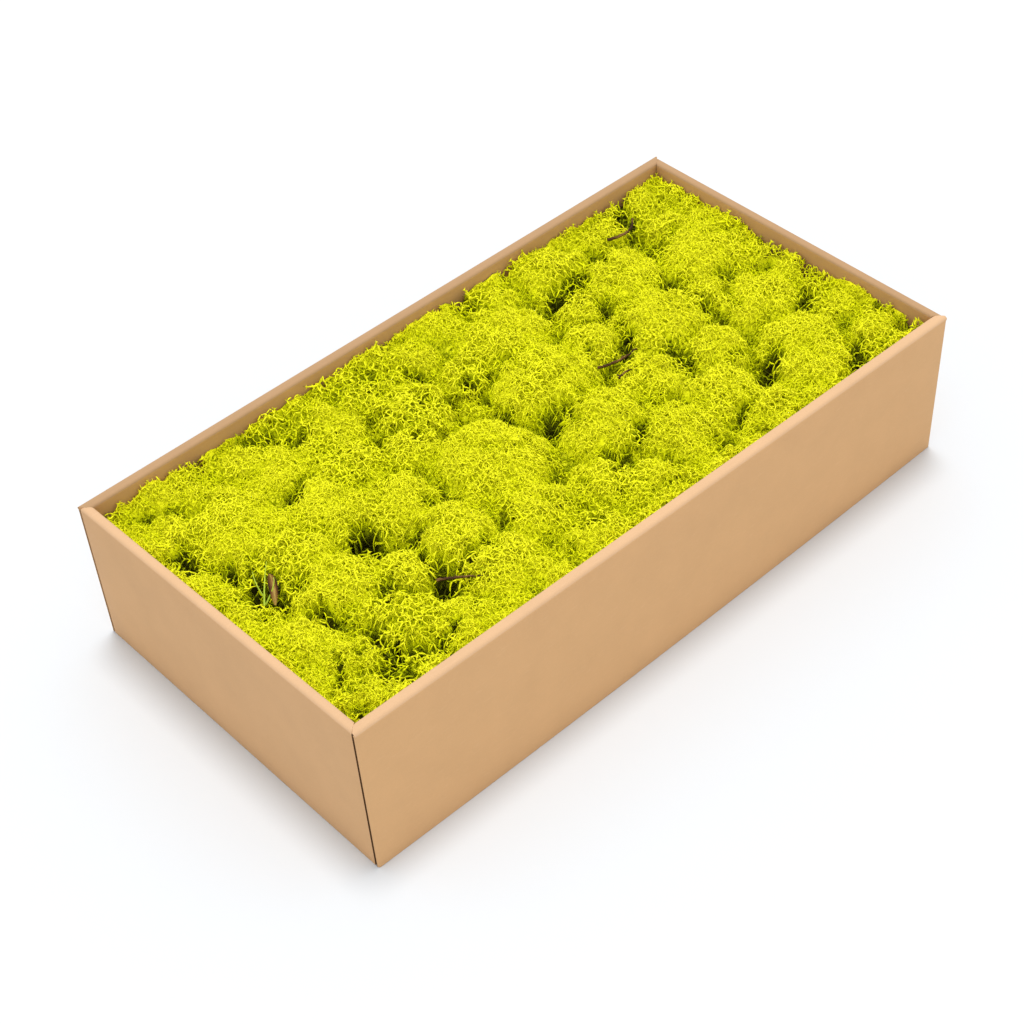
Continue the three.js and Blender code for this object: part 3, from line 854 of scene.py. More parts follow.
def surfaceAt(x, y):
    step = 1.2
    height, dark = mossHeight(x, y)
    slopeX = (mossHeight(x + step, y)[0] - mossHeight(x - step, y)[0]) / (2 * step)
    slopeY = (mossHeight(x, y + step)[0] - mossHeight(x, y - step)[0]) / (2 * step)
    normal = np.stack([-slopeX, -slopeY, np.ones_like(x)], -1)
    return height, dark, normal / np.linalg.norm(normal, axis=1)[:, None]


def heightAround(x, y, radius):
    turns = np.arange(8) * math.pi / 4
    return sum(mossHeight(x + radius * math.cos(turn), y + radius * math.sin(turn))[0] for turn in turns) / 8


toneLook = {
    "nearRadius": 7, "nearShare": 0.045,       # how far round (mm), and how much each mm of relief counts
    "wideRadius": 16, "wideShare": 0.05,
    "level": 0.90, "leastRelief": 0.36, "mostRelief": 1.10,
    "hollowShade": 0.66, "deepShade": 0.25, "deepFrom": 0.6, "deepSpan": 0.3, "darkest": 0.05,
}


# How bright the moss is painted: painted light on proud tops, painted shade in valleys and hollows
def toneAt(x, y, height, dark):
    proud = height - heightAround(x, y, toneLook["nearRadius"])
    proudWide = height - heightAround(x, y, toneLook["wideRadius"])
    relief = toneLook["level"] + toneLook["nearShare"] * proud + toneLook["wideShare"] * proudWide
    deep = np.clip((dark - toneLook["deepFrom"]) / toneLook["deepSpan"], 0, 1)
    shade = 1 - toneLook["hollowShade"] * dark - toneLook["deepShade"] * deep
    relief = np.clip(relief, toneLook["leastRelief"], toneLook["mostRelief"])
    return np.clip(shade, toneLook["darkest"], 1) * relief


def planSprigs():
    plans = []
    for kind, seed in (("dense", 41), ("loose", 42)):
        x, y = hexPoints(scatterLook[kind + "Spacing"], seed)
        draw = np.random.default_rng(seed + 100)
        loose = loosenessAt(x, y)
        chance = draw.random(len(x))
        if kind == "dense":
            keep = chance > loose * 1.05 - 0.05
        else:
            keep = chance < scatterLook["looseEverywhere"] + (1 - scatterLook["looseEverywhere"]) * loose
        x, y = x[keep], y[keep]
        height, dark, normal = surfaceAt(x, y)
        steep = 1 / np.clip(normal[:, 2], 0.35, 1) - 1
        again = draw.random(len(x)) < steep * scatterLook["steepShare"]
        clear = (dark < scatterLook["darkLimit"]) | (draw.random(len(x)) < scatterLook["darkShare"])
        pick = np.concatenate([np.flatnonzero(clear), np.flatnonzero(clear & again)])
        x, y = x[pick], y[pick]
        second = (np.arange(len(x)) >= clear.sum()) * scatterLook["secondShift"]
        x = x + draw.uniform(-1, 1, len(x)) * second
        y = y + draw.uniform(-1, 1, len(y)) * second
        height, dark, normal = surfaceAt(x, y)
        aim = normal + draw.normal(0, scatterLook["lean"], normal.shape)
        aim /= np.linalg.norm(aim, axis=1)[:, None]
        aim[:, 2] = np.maximum(aim[:, 2], scatterLook["leastAim"])
        aim /= np.linalg.norm(aim, axis=1)[:, None]
        size = draw.uniform(*scatterLook["size"], len(x))
        yaw = draw.uniform(0, 2 * math.pi, len(x))
        lift = draw.normal(scatterLook["lift"], scatterLook["liftSpread"], len(x))
        lift += scatterLook["looseLift"] if kind == "loose" else 0
        tone = toneAt(x, y, height, dark) * draw.uniform(*scatterLook["tone"], len(x))
        variant = draw.integers(0, scatterLook["variants"], len(x))
        plans.append((kind, x, y, height + lift, aim, size, yaw, tone, variant))
    return plans


# One strand of the net: a three-sided thread with pointed ends, lying along X from 0 to 1
def growStrand(name, rings):
    startClean()
    reach = 0.3
    bpy.ops.mesh.primitive_cylinder_add(vertices=3, radius=1, depth=2 * reach, end_fill_type="NGON",
                                        location=(0.5, 0, 0), rotation=(0, math.pi / 2, 0))
    strand = named(name)
    applyPlace()
    editPiece(strand)
    cutAcross([0.5 - reach + 2 * reach * ring / (rings - 1) for ring in range(1, rings - 1)], (1, 0, 0))
    pickFaces(strand, lambda face: abs(face.normal.x) > 0.9)
    bpy.ops.mesh.poke(offset=0.5 - reach + 0.07)
    bpy.ops.mesh.select_all(action="SELECT")
    bpy.ops.mesh.quads_convert_to_tris()
    bpy.ops.object.mode_set(mode="OBJECT")
    points, corners = takeShape(strand)
    return points / 1000, corners


# Layers of the net: cell size, height over the moss surface and thread radius, in mm; bridge is how far
# up a hollow its threads may hang across
# tone paints the lower layers darker as shade and the top layers paler as light
netLayers = {
    "top": {"spacing": 3.5, "lift": 0.0, "thick": 0.33, "missing": 0.14, "bow": 0.18, "jitter": 0.30,
            "rings": 2, "tone": 1.04, "loose": (-0.01, 0.55), "bridge": 0.75, "seed": 61},
    "under": {"spacing": 3.4, "lift": -1.1, "thick": 0.40, "missing": 0.05, "bow": 0.20, "jitter": 0.30,
              "rings": 2, "tone": 0.90, "loose": (-0.01, 0.80), "bridge": 0.35, "seed": 62},
    "open": {"spacing": 4.9, "lift": 0.5, "thick": 0.44, "missing": 0.10, "bow": 0.22, "jitter": 0.32,
             "rings": 3, "tone": 1.08, "loose": (0.45, 1.01), "bridge": 0.75, "seed": 63},
    "openUnder": {"spacing": 4.3, "lift": -2.2, "thick": 0.46, "missing": 0.08, "bow": 0.26, "jitter": 0.32,
                  "rings": 2, "tone": 0.66, "loose": (0.55, 1.01), "bridge": 0.35, "seed": 64},
}


threadLook = {
    "bridgeLight": 0.6,        # threads that hang across a hollow get less of its painted shade than its bottom
    "liftSpread": 0.35,
    "darkLimit": 0.80,         # past this darkness only some of the threads are there
    "darkShare": 0.5,
    "bowUp": (-0.2, 0.5),
    "thick": (0.8, 1.2),
    "tone": (0.86, 1.08),
}


# Uneven six-sided cells: their middles first, then the joints between three cells, then joint to joint
def spreadNet(look, draw):
    spacing = look["spacing"]
    halfX, halfY = tray["endInner"] * 1000 - 0.8, tray["longInner"] * 1000 - 0.8
    rows = int(2 * halfY / (spacing * 0.866)) + 4
    columns = int(2 * halfX / spacing) + rows // 2 + 4
    i, j = np.meshgrid(np.arange(columns), np.arange(rows), indexing="ij")
    x = (i + j / 2 - rows / 2 - 1) * spacing - halfX
    y = (j - 1) * spacing * 0.866 - halfY
    middles = np.stack([x, y], -1) + draw.uniform(-0.36, 0.36, (columns, rows, 2)) * spacing
    here, right, above, corner = middles[:-1, :-1], middles[1:, :-1], middles[:-1, 1:], middles[1:, 1:]
    low = (here + right + above) / 3
    high = (right + corner + above) / 3
    joints = np.concatenate([low.reshape(-1, 2), high.reshape(-1, 2)])
    joints += draw.uniform(-0.5, 0.5, joints.shape) * look["jitter"] * spacing
    count = low.shape[0] * low.shape[1]
    first = np.arange(count).reshape(low.shape[:2])
    second = first + count
    starts = np.concatenate([first.ravel(), first[1:].ravel(), first[:, 1:].ravel()])
    ends = np.concatenate([second.ravel(), second[:-1].ravel(), second[:, :-1].ravel()])
    inside = (np.abs(joints[:, 0]) < halfX) & (np.abs(joints[:, 1]) < halfY)
    keep = inside[starts] & inside[ends] & (draw.random(len(starts)) > look["missing"])
    return joints, starts[keep], ends[keep]


def weaveNet(look):
    draw = np.random.default_rng(look["seed"])
    joints, starts, ends = spreadNet(look, draw)
    used, places = np.unique(np.concatenate([starts, ends]), return_inverse=True)
    x, y = joints[used, 0], joints[used, 1]
    starts, ends = places[:len(starts)], places[len(starts):]
    height, dark, normal = surfaceAt(x, y)
    bridge = look["bridge"] * draw.random(len(x)) ** 0.5
    height = height + bridge * readGrid(bedDepth, x, y)
    dark = dark * (1 - threadLook["bridgeLight"] * bridge)
    tone = toneAt(x, y, height, dark)
    lift = look["lift"] + draw.normal(0, threadLook["liftSpread"], len(x))
    stand = np.stack([x, y, height], -1) + normal * lift[:, None]
    middleX, middleY = (x[starts] + x[ends]) / 2, (y[starts] + y[ends]) / 2
    loose = loosenessAt(middleX, middleY)
    darkest = np.maximum(dark[starts], dark[ends])
    keep = (loose > look["loose"][0]) & (loose < look["loose"][1])
    keep &= (darkest < threadLook["darkLimit"]) | (draw.random(len(starts)) < threadLook["darkShare"])
    starts, ends = starts[keep], ends[keep]

    start, run = stand[starts], stand[ends] - stand[starts]
    length = np.linalg.norm(run, axis=1)[:, None]
    side = np.cross(run / length, normal[starts])
    side /= np.linalg.norm(side, axis=1)[:, None]
    up = np.cross(side, run / length)
    sway = draw.uniform(-1, 1, (len(starts), 1))
    bowUp = draw.uniform(*threadLook["bowUp"], (len(starts), 1))
    bow = (side * sway + up * bowUp) * length * look["bow"]
    thick = look["thick"] * draw.uniform(*threadLook["thick"], (len(starts), 1, 1))
    points, corners = growStrand("strand", look["rings"])
    along = points[None, :, :1]
    placed = start[:, None] + run[:, None] * along + bow[:, None] * 4 * along * (1 - along)
    placed = placed + thick * (side[:, None] * points[None, :, 1:2] + up[:, None] * points[None, :, 2:])
    tint = tone[starts][:, None] * (1 - along[..., 0]) + tone[ends][:, None] * along[..., 0]
    tint = tint * look["tone"] * draw.uniform(*threadLook["tone"], (len(starts), 1))
    return placed, corners, tint, clumpAt(middleX[keep], middleY[keep])


def frameFrom(aim, yaw):
    side = np.stack([np.cos(yaw), np.sin(yaw), np.zeros_like(yaw)], -1)
    side -= aim * (side * aim).sum(1)[:, None]
    side /= np.linalg.norm(side, axis=1)[:, None]
    other = np.cross(aim, side)
    return np.stack([side, other, aim], -1)


# Every sprig and thread goes to the clump that it stands on
def gather(plans, shapes):
    bunches = [[] for _ in clumps]
    limitX, limitY = (tray[key] * 1000 - mossBed["wallGap"] for key in ("endInner", "longInner"))
    for kind, x, y, z, aim, size, yaw, tone, variant in plans:
        turns = frameFrom(aim, yaw)
        owner = clumpAt(x, y)
        for index in range(len(x)):
            points, corners, level = shapes[kind][variant[index] % len(shapes[kind])]
            placed = (points * size[index]) @ turns[index].T + (x[index], y[index], z[index])
            for side, limit in ((0, limitX), (1, limitY)):
                placed[:, side] -= max(placed[:, side].max() - limit, 0)
                placed[:, side] -= min(placed[:, side].min() + limit, 0)
            bunches[owner[index]].append((placed, corners, level * tone[index]))
    for look in netLayers.values():
        placed, corners, tint, owner = weaveNet(look)
        placed[..., 0] = np.clip(placed[..., 0], -limitX, limitX)
        placed[..., 1] = np.clip(placed[..., 1], -limitY, limitY)
        for number in range(len(clumps)):
            mine = owner == number
            strands = placed[mine]
            shift = np.arange(len(strands))[:, None, None] * strands.shape[1]
            faces = (corners[None] + shift).reshape(-1, 3)
            bunches[number].append((strands.reshape(-1, 3), faces, tint[mine].ravel()))
    return bunches


def buildMesh(name, bunch):
    counts = np.cumsum([0] + [len(item[0]) for item in bunch])
    points = np.concatenate([item[0] for item in bunch]) * mm
    corners = np.concatenate([item[1] + start for item, start in zip(bunch, counts)])
    tint = np.concatenate([item[2] for item in bunch])
    mesh = bpy.data.meshes.new(name)
    mesh.vertices.add(len(points))
    mesh.vertices.foreach_set("co", points.ravel())
    mesh.loops.add(len(corners) * 3)
    mesh.loops.foreach_set("vertex_index", corners.ravel())
    mesh.polygons.add(len(corners))
    mesh.polygons.foreach_set("loop_start", np.arange(0, len(corners) * 3, 3))
    mesh.update(calc_edges=True)
    mesh.attributes.new("tint", "FLOAT", "POINT").data.foreach_set("value", tint)
    mesh.attributes.new("bed", "FLOAT", "POINT").data.foreach_set("value", np.zeros(len(points)))
    mesh.polygons.foreach_set("use_smooth", np.ones(len(corners), bool))
    return mesh


coreLook = {
    "topFrom": 66.5,           # the frame's clumps are domed above this height (mm)
    "spread": 1.02,            # the domed tops close up on each other
    "hollowDrop": 2.0, "looseDrop": 2.5,
    "wallGap": 0.4,
    # The clump's flanks and its sunk top in open patches and hollows are painted dark: painted shade
    "flankPaintedShade": 0.06, "tint": 0.80, "looseShade": 0.42,
}


# The clump's own body, under the sprigs: a copy of the frame's clump pressed to the moss surface
def growCore(number):
    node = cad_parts["moss_clump_%02d" % (number + 1)]
    mesh = node.data.copy()
    mesh.materials.clear()
    core = bpy.data.objects.new("mossClump%02d" % (number + 1), mesh)
    scene.collection.objects.link(core)
    editPiece(core, "VERT")
    bpy.ops.mesh.select_all(action="SELECT")
    bpy.ops.mesh.remove_doubles(threshold=0.00002)
    pickFaces(core, lambda face: face.calc_center_median().z > 0.069)
    bpy.ops.mesh.subdivide(number_cuts=2)
    bpy.ops.object.mode_set(mode="OBJECT")
    points = np.empty(len(mesh.vertices) * 3)
    mesh.vertices.foreach_get("co", points)
    points = points.reshape(-1, 3) * 1000
    top = points[:, 2] > coreLook["topFrom"]
    middle = np.array(clumps[number][:2])
    points[top, :2] = middle + (points[top, :2] - middle) * coreLook["spread"]
    height, dark = mossHeight(points[top, 0], points[top, 1])
    loose = loosenessAt(points[top, 0], points[top, 1])
    drop = mossBed["coreDrop"] + coreLook["hollowDrop"] * dark + coreLook["looseDrop"] * loose
    points[top, 2] = height - drop
    limitX, limitY = (tray[key] * 1000 - coreLook["wallGap"] for key in ("endInner", "longInner"))
    points[:, 0] = np.clip(points[:, 0], -limitX, limitX)
    points[:, 1] = np.clip(points[:, 1], -limitY, limitY)
    mesh.vertices.foreach_set("co", (points * mm).ravel())
    # Flanks near-black and the top darker in open patches and hollows: painted shade
    tint = np.full(len(points), coreLook["flankPaintedShade"])
    tint[top] = (coreLook["tint"] - coreLook["looseShade"] * loose) * (1 - dark) ** 1.5
    mesh.attributes.new("tint", "FLOAT", "POINT").data.foreach_set("value", tint)
    mesh.attributes.new("bed", "FLOAT", "POINT").data.foreach_set("value", np.ones(len(points)))
    mesh.polygons.foreach_set("use_smooth", np.ones(len(mesh.polygons), bool))
    mesh.update()
    return core


# Colours of the moss from the bottom of the hollows to the tips; the darker stops carry the painted shade of
# hollows, valleys and sprig bases
mossStops = ((0.0, (0.026, 0.022, 0.0006)), (0.15, (0.145, 0.165, 0.001)), (0.32, (0.46, 0.52, 0.002)),
             (0.55, (0.80, 0.83, 0.003)), (1.0, (0.945, 0.935, 0.020)))


def makeMossMaterial():
    material, tree, shader = newMaterial("reindeerMoss")
    tint = addNode(tree, "ShaderNodeAttribute", -1200, 0, attribute_name="tint")
    place = addNode(tree, "ShaderNodeTexCoord", -1200, -300)
    patch = addNode(tree, "ShaderNodeTexNoise", -1000, -300)
    setInputs(patch, {"Scale": 42, "Detail": 3})
    link(tree, place.outputs["Object"], patch.inputs["Vector"])
    speck = addNode(tree, "ShaderNodeTexNoise", -1000, -600)
    setInputs(speck, {"Scale": 520, "Detail": 2})
    link(tree, place.outputs["Object"], speck.inputs["Vector"])
    patchShift = addNode(tree, "ShaderNodeMapRange", -800, -300)
    setInputs(patchShift, {"From Min": 0.3, "From Max": 0.7, "To Min": -0.07, "To Max": 0.07})
    link(tree, patch.outputs["Fac"], patchShift.inputs["Value"])
    speckShift = addNode(tree, "ShaderNodeMapRange", -800, -600)
    setInputs(speckShift, {"To Min": -0.08, "To Max": 0.08})
    link(tree, speck.outputs["Fac"], speckShift.inputs["Value"])
    shifts = addMath(tree, "ADD", -600, -400, patchShift.outputs[0], speckShift.outputs[0])
    weighted = addMath(tree, "MULTIPLY", -450, -400, shifts, tint.outputs["Fac"])
    level = addMath(tree, "ADD", -300, -100, tint.outputs["Fac"], weighted)

    # The bed under the threads is a finer painted net of its own, with its holes painted dark as shade
    bed = addNode(tree, "ShaderNodeAttribute", -1200, 300, attribute_name="bed")
    warp = addNode(tree, "ShaderNodeTexNoise", -1500, -900)
    warp.inputs["Scale"].default_value = 300
    link(tree, place.outputs["Object"], warp.inputs["Vector"])
    shiftWarp = addNode(tree, "ShaderNodeVectorMath", -1300, -900, operation="MULTIPLY_ADD")
    shiftWarp.inputs[1].default_value = (0.0024, 0.0024, 0.0024)
    link(tree, warp.outputs["Color"], shiftWarp.inputs[0])
    link(tree, place.outputs["Object"], shiftWarp.inputs[2])
    strands = []
    for scale, y in ((300, -900), (430, -1150)):
        cells = addNode(tree, "ShaderNodeTexVoronoi", -1100, y, feature="DISTANCE_TO_EDGE")
        cells.inputs["Scale"].default_value = scale
        link(tree, shiftWarp.outputs[0], cells.inputs["Vector"])
        thread = addNode(tree, "ShaderNodeMapRange", -900, y)
        setInputs(thread, {"From Min": 0.05, "From Max": 0.24, "To Min": 1, "To Max": 0})
        link(tree, cells.outputs["Distance"], thread.inputs["Value"])
        strands.append(thread.outputs[0])
    woven = addMath(tree, "MAXIMUM", -700, -1000, strands[0], strands[1])
    holes = addMath(tree, "MULTIPLY_ADD", -550, -1000, woven, 0.85)
    holes.node.inputs[2].default_value = 0.28
    lessOne = addMath(tree, "SUBTRACT", -400, -1000, holes, 1.0)
    bedShare = addMath(tree, "MULTIPLY_ADD", -250, -1000, lessOne, bed.outputs["Fac"])
    bedShare.node.inputs[2].default_value = 1.0
    level = addMath(tree, "MULTIPLY", -150, -300, level, bedShare)
    ridge = addMath(tree, "MULTIPLY", -550, -1250, woven, bed.outputs["Fac"])
    bump = addNode(tree, "ShaderNodeBump", -100, -500)
    setInputs(bump, {"Strength": 0.8, "Distance": 0.0006})
    link(tree, ridge, bump.inputs["Height"])
    link(tree, bump.outputs["Normal"], shader.inputs["Normal"])
    link(tree, addRamp(tree, -100, 0, level, mossStops), shader.inputs["Base Color"])
    setInputs(shader, {"Roughness": 0.75, "Specular IOR Level": 0.07})
    return material


moss = makeMossMaterial()
shapes = {kind: settle(kind, look, scatterLook["variants"]) for kind, look in sprigLooks.items()}
plans = planSprigs()
bunches = gather(plans, shapes)
print("sprigs planned:", sum(len(bunch) for bunch in bunches))


def makeClump(number):
    core = growCore(number)
    tufts = bpy.data.objects.new("tufts", buildMesh("tufts", bunches[number]))
    scene.collection.objects.link(tufts)
    takeUp(core, tufts)
    bpy.ops.object.join()
    core.data.materials.append(moss)
    core.data.name = core.name
    return hand(core, "moss", "moss_clump_%02d" % (number + 1))


mossPieces = [makeClump(number) for number in range(len(clumps))]
print("moss clumps grown:", sum(len(piece.data.polygons) for piece in mossPieces), "faces")


# Twigs caught in the moss: bent paths (mm), radius at both ends (mm) and the place of a side shoot
twigShape = {
    "cutEvery": 0.9 * mm, "shootLength": 1.3 * mm, "shootThin": 0.6, "brokenEnd": 0.2 * mm,
    "wobbleSide": 0.16 * mm, "wobbleUp": 0.12 * mm, "smoothAngle": 50,
}
twigLooks = {
    "twig_left": {"path": ((-107, -52, 82.2), (-98, -57.5, 81.6), (-86, -67, 81.0)),
                  "thick": (0.85, 0.35), "shoot": 0.45},
    "twig_middle": {"path": ((56, 6, 79.6), (68, 1.5, 80.6), (81, 2.5, 80.0)),
                    "thick": (0.80, 0.45), "shoot": 0.6},
    "twig_short": {"path": ((55.5, -10.4, 82.6), (61, -9.4, 82.9), (67.5, -10.4, 82.2)),
                   "thick": (0.65, 0.35), "shoot": 0.1},
    "twig_far": {"path": ((133, 76.5, 84.2), (146, 73.4, 84.6), (157, 81, 83.6)),
                 "thick": (0.85, 0.5), "shoot": 0.7},
}
# Colours from the dark streaks to the pale ones
barkStops = ((0.30, (0.022, 0.009, 0.003)), (0.52, (0.085, 0.036, 0.011)), (0.85, (0.36, 0.20, 0.055)))
leafStops = ((0.18, (0.030, 0.012, 0.004)), (0.50, (0.15, 0.054, 0.012)), (0.95, (0.42, 0.28, 0.055)))
stalkStops = ((0.15, (0.10, 0.16, 0.006)), (0.5, (0.33, 0.46, 0.02)), (0.9, (0.62, 0.72, 0.07)))


def makeStreakMaterial(name, stops, scale, roughness):
    material, tree, shader = newMaterial(name)
    place = addNode(tree, "ShaderNodeAttribute", -1100, 0, attribute_name="flatPlace")
    lay = addNode(tree, "ShaderNodeMapping", -900, 0)
    lay.inputs["Scale"].default_value = scale
    link(tree, place.outputs["Vector"], lay.inputs["Vector"])
    streaks = addNode(tree, "ShaderNodeTexNoise", -700, 0)
    setInputs(streaks, {"Scale": 1, "Detail": 4})
    link(tree, lay.outputs[0], streaks.inputs["Vector"])
    paleness = addNode(tree, "ShaderNodeAttribute", -700, 250, attribute_name="paleness")
    level = addMath(tree, "MULTIPLY_ADD", -500, 100, streaks.outputs["Fac"], 0.9)
    link(tree, paleness.outputs["Fac"], level.node.inputs[2])
    link(tree, addRamp(tree, -300, 100, level, stops), shader.inputs["Base Color"])
    bump = addNode(tree, "ShaderNodeBump", -300, -250)
    setInputs(bump, {"Strength": 0.6, "Distance": 0.0002})
    link(tree, streaks.outputs["Fac"], bump.inputs["Height"])
    link(tree, bump.outputs["Normal"], shader.inputs["Normal"])
    setInputs(shader, {"Roughness": roughness, "Specular IOR Level": 0.2})
    return material


bark = makeStreakMaterial("twigBark", barkStops, (260, 1500, 1500), 0.8)
dryLeaf = makeStreakMaterial("dryLeaf", leafStops, (180, 1400, 1400), 0.6)
greenStalk = makeStreakMaterial("greenStalk", stalkStops, (120, 1800, 1800), 0.5)


# A straight thread along X is laid on a path through three points
def layOnPath(piece, path, length, paleness):
    first, middle, last = (Vector(point) * mm for point in path)
    pull = middle * 2 - (first + last) / 2
    flat = np.empty(len(piece.data.vertices) * 3)
    piece.data.vertices.foreach_get("co", flat)
    pale = []
    for corner in piece.data.vertices:
        t = corner.co.x / length
        pale.append(paleness(t, corner.co))
        point = first * (1 - t) ** 2 + pull * 2 * t * (1 - t) + last * t ** 2
        along = (pull - first) * (1 - t) + (last - pull) * t
        along.normalize()
        side = Vector((-along.y, along.x, 0)).normalized()
        corner.co = point + side * corner.co.y + side.cross(along) * -corner.co.z
    piece.data.attributes.new("flatPlace", "FLOAT_VECTOR", "POINT").data.foreach_set("vector", flat)
    piece.data.attributes.new("paleness", "FLOAT", "POINT").data.foreach_set("value", pale)


# A thin rod, cut into rings that are made uneven, with a side shoot and broken ends
def makeTwig(node, look, seed):
    draw = np.random.default_rng(seed)
    path = [Vector(point) * mm for point in look["path"]]
    length = (path[1] - path[0]).length + (path[2] - path[1]).length
    thick = look["thick"][0] * mm
    startClean()
    bpy.ops.mesh.primitive_cylinder_add(vertices=8, radius=thick, depth=length, end_fill_type="NGON",
                                        location=(length / 2, 0, 0), rotation=(0, math.pi / 2, 0))
    words = node.split("_")
    twig = named(words[0] + words[1].title())
    applyPlace()
    editPiece(twig)
    cuts = int(length / twigShape["cutEvery"])
    cutAcross([length * cut / cuts for cut in range(1, cuts)], (1, 0, 0))
    # A short side shoot, and broken ends
    shootAt = length * (int(look["shoot"] * cuts) + 0.5) / cuts
    pickFaces(twig, lambda face: abs(face.calc_center_median().x - shootAt) < length / cuts * 0.4
              and face.normal.y > 0.5 and face.normal.z > 0.2)
    bpy.ops.mesh.inset(thickness=0.08 * mm)
    bpy.ops.mesh.extrude_faces_move(TRANSFORM_OT_shrink_fatten={"value": twigShape["shootLength"]})
    bpy.ops.transform.resize(value=[twigShape["shootThin"]] * 3)
    pickFaces(twig, lambda face: abs(face.normal.x) > 0.95 and min(
        face.calc_center_median().x, length - face.calc_center_median().x) < 0.0001)
    bpy.ops.mesh.inset(thickness=0.15 * mm)
    bpy.ops.mesh.poke(offset=twigShape["brokenEnd"])
    bpy.ops.object.mode_set(mode="OBJECT")
    thin = look["thick"][1] / look["thick"][0]
    knots = draw.uniform(0.86, 1.16, cuts + 2)
    wobbleY = draw.normal(0, twigShape["wobbleSide"], cuts + 2)
    wobbleZ = draw.normal(0, twigShape["wobbleUp"], cuts + 2)
    for corner in twig.data.vertices:
        t = min(max(corner.co.x / length, 0), 1)
        ring = int(round(t * cuts))
        size = (1 - t + thin * t) * knots[ring]
        corner.co.y = corner.co.y * size + wobbleY[ring]
        corner.co.z = corner.co.z * size + wobbleZ[ring]
    # Paleness wanders along the twig and is higher on its upper side; the upper side's paleness is painted
    # light
    layOnPath(twig, look["path"], length, lambda t, co: 0.12 * math.sin(9 * t + seed) + 110 * co.z)
    twig.data.materials.append(bark)
    smoothByAngle(twig, twigShape["smoothAngle"])
    return hand(twig, "twig", node)


twigs = [makeTwig(node, look, 71 + number) for number, (node, look) in enumerate(twigLooks.items())]


# The dry leaf is cupped and pointed, with green stalks beside it
leafShape = {
    "path": ((-169.5, -8.5, 80.6), (-163.6, 0.2, 83.4), (-159.2, 9.0, 81.8)),
    "length": 19.5 * mm, "width": 4.3 * mm, "cup": 1.5 * mm, "thick": 0.22 * mm,
    "steps": 20, "stalkCuts": 16, "ripple": 0.12 * mm, "ribRise": 0.18 * mm,
    "stalks": (
        {"path": ((-174.2, -6.6, 82.4), (-166.5, 2.6, 85.0), (-157.2, 12.8, 86.0)), "thick": 0.52},
        {"path": ((-170.4, -1.6, 81.5), (-169.2, 5.5, 84.8), (-165.8, 12.6, 85.6)), "thick": 0.42},
        {"path": ((-172.6, -5.2, 81.0), (-164.5, -1.0, 83.6), (-160.6, 3.5, 84.4)), "thick": 0.46},
    ),
}


def makeLeaf():
    length, width = leafShape["length"], leafShape["width"]
    startClean()
    bpy.ops.mesh.primitive_grid_add(x_subdivisions=leafShape["steps"], y_subdivisions=8, size=1)
    leaf = named("dryLeaf")
    leaf.scale = (length, width, 1)
    applyPlace()
    ripple = np.random.default_rng(91).normal(0, leafShape["ripple"], 24)
    for corner in leaf.data.vertices:
        t = corner.co.x / length + 0.5
        across = corner.co.y / (width / 2)
        outline = math.sin(math.pi * min(max(t, 0.015), 0.985)) ** 0.75 * (1.12 - 0.3 * t)
        corner.co.x = t * length
        corner.co.y = across * width / 2 * outline
        corner.co.z = leafShape["cup"] * across ** 2 * outline + ripple[int(t * leafShape["steps"])] * across
        if abs(across) < 0.05:
            corner.co.z += leafShape["ribRise"]
    solid = leaf.modifiers.new("thickness", "SOLIDIFY")
    solid.thickness = leafShape["thick"]
    solid.offset = -1
    applyModifiers(leaf)

    def leafPaleness(t, co):
        rib = 0.25 if abs(co.y) < 0.2 * mm else 0
        return 0.25 - 0.55 * (abs(co.y) / (width / 2)) ** 2 + rib - 0.1 * t

    layOnPath(leaf, leafShape["path"], length, leafPaleness)
    leaf.data.materials.append(dryLeaf)
    stalks = []
    for number, look in enumerate(leafShape["stalks"]):
        path = [Vector(point) * mm for point in look["path"]]
        reach = (path[1] - path[0]).length + (path[2] - path[1]).length
        startClean()
        bpy.ops.mesh.primitive_cone_add(vertices=6, radius1=look["thick"] * mm,
                                        radius2=0.3 * look["thick"] * mm, depth=reach,
                                        end_fill_type="NGON", location=(reach / 2, 0, 0),
                                        rotation=(0, math.pi / 2, 0))
        stalk = named("stalk%d" % number)
        applyPlace()
        editPiece(stalk)
        cuts = leafShape["stalkCuts"]
        cutAcross([reach * cut / cuts for cut in range(1, cuts)], (1, 0, 0))
        bpy.ops.object.mode_set(mode="OBJECT")
        # The stalks pale along their length and on their upper side; the upper side's paleness is painted
        # light
        layOnPath(stalk, look["path"], reach, lambda t, co: 0.15 * t + 90 * co.z)
        stalk.data.materials.append(greenStalk)
        stalks.append(stalk)
    takeUp(leaf, *stalks)
    bpy.ops.object.join()
    smoothByAngle(leaf, twigShape["smoothAngle"])
    return hand(leaf, "dry_leaf", "dry_leaf")


leaf = makeLeaf()
print("twigs and leaf laid")


# The real tray stands a little out of true: shifts of its corners (mm) at the top and at the foot
outOfTrue = {
    "top": {(-1, -1): (0.3, 1.3), (1, -1): (-0.3, -1.6), (-1, 1): (-1.7, -0.8), (1, 1): (1.2, 0.4)},
    "foot": {(-1, -1): (0.1, -1.8), (1, -1): (-0.3, 0.8), (-1, 1): (0.6, 1.1), (1, 1): (0.0, 0.0)},
}


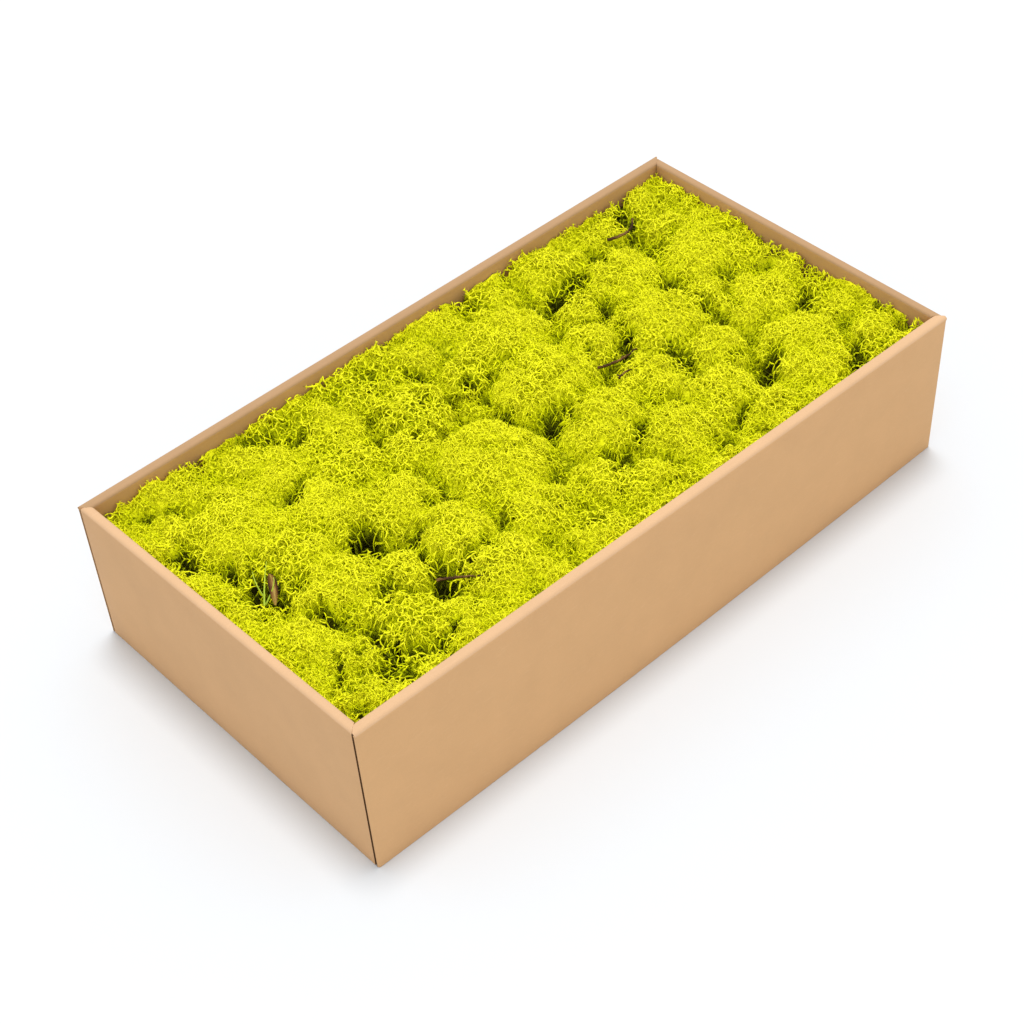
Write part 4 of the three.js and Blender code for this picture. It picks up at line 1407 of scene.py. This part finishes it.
def lean(piece):
    points = np.empty(len(piece.data.vertices) * 3)
    piece.data.vertices.foreach_get("co", points)
    points = points.reshape(-1, 3)
    alongX = points[:, 0] / tray["halfLength"] / 2 + 0.5
    alongY = points[:, 1] / tray["halfWidth"] / 2 + 0.5
    level = points[:, 2] / tray["height"]
    shift = np.zeros((len(points), 2))
    for key, share in (("top", level), ("foot", 1 - level)):
        for (signX, signY), move in outOfTrue[key].items():
            weightX = alongX if signX > 0 else 1 - alongX
            weightY = alongY if signY > 0 else 1 - alongY
            shift += (share * weightX * weightY)[:, None] * np.array(move) * mm
    points[:, :2] += shift
    piece.data.vertices.foreach_set("co", points.ravel())
    piece.data.update()


for piece in [*walls, *flaps, base, *mossPieces, *twigs, leaf]:
    lean(piece)
print("tray set out of true")


# Floor and light
studio = {
    "floorSize": 8.0,
    "floorColour": (0.675, 0.70, 0.725),
    "world": 0.95,
    "sun": 1.75,               # a soft lamp high behind the tray, so the shadow lies tight against its front
    "sunWidth": 16.0,
    "sunTilt": 8.0,
    "sunHeading": 45.0,
}


def makeStudio():
    startClean()
    bpy.ops.mesh.primitive_plane_add(size=studio["floorSize"], location=(0, 0, -0.2 * mm))
    floor = named("floor")
    pale, tree, shader = newMaterial("paleFloor")
    place = addNode(tree, "ShaderNodeTexCoord", -800, 0)
    soft = addNode(tree, "ShaderNodeTexNoise", -600, 0)
    soft.inputs["Scale"].default_value = 3
    link(tree, place.outputs["Object"], soft.inputs["Vector"])
    tone = addNode(tree, "ShaderNodeMix", -300, 0, data_type="RGBA")
    setInputs(tone, {"A": (*studio["floorColour"], 1),
                     "B": (*(part * 1.01 for part in studio["floorColour"]), 1)})
    link(tree, soft.outputs["Fac"], tone.inputs["Factor"])
    link(tree, tone.outputs["Result"], shader.inputs["Base Color"])
    setInputs(shader, {"Roughness": 0.9, "Specular IOR Level": 0.0})
    floor.data.materials.append(pale)

    world = bpy.data.worlds.new("softWhite")
    scene.world = world
    world.use_nodes = True
    sky = world.node_tree.nodes["Background"]
    setInputs(sky, {"Color": (1, 1, 1, 1), "Strength": studio["world"]})

    bpy.ops.object.light_add(type="SUN", location=(0, 0, 1.5))
    sun = bpy.context.active_object
    sun.name = "softLamp"
    sun.data.energy = studio["sun"]
    sun.data.angle = math.radians(studio["sunWidth"])
    tilt, heading = math.radians(studio["sunTilt"]), math.radians(studio["sunHeading"])
    beam = Vector((-math.sin(tilt) * math.cos(heading), -math.sin(tilt) * math.sin(heading), -math.cos(tilt)))
    sun.rotation_euler = beam.to_track_quat("-Z", "Y").to_euler()
    scene.view_settings.view_transform = "Standard"
    scene.view_settings.look = "None"


makeStudio()
print("studio lit")
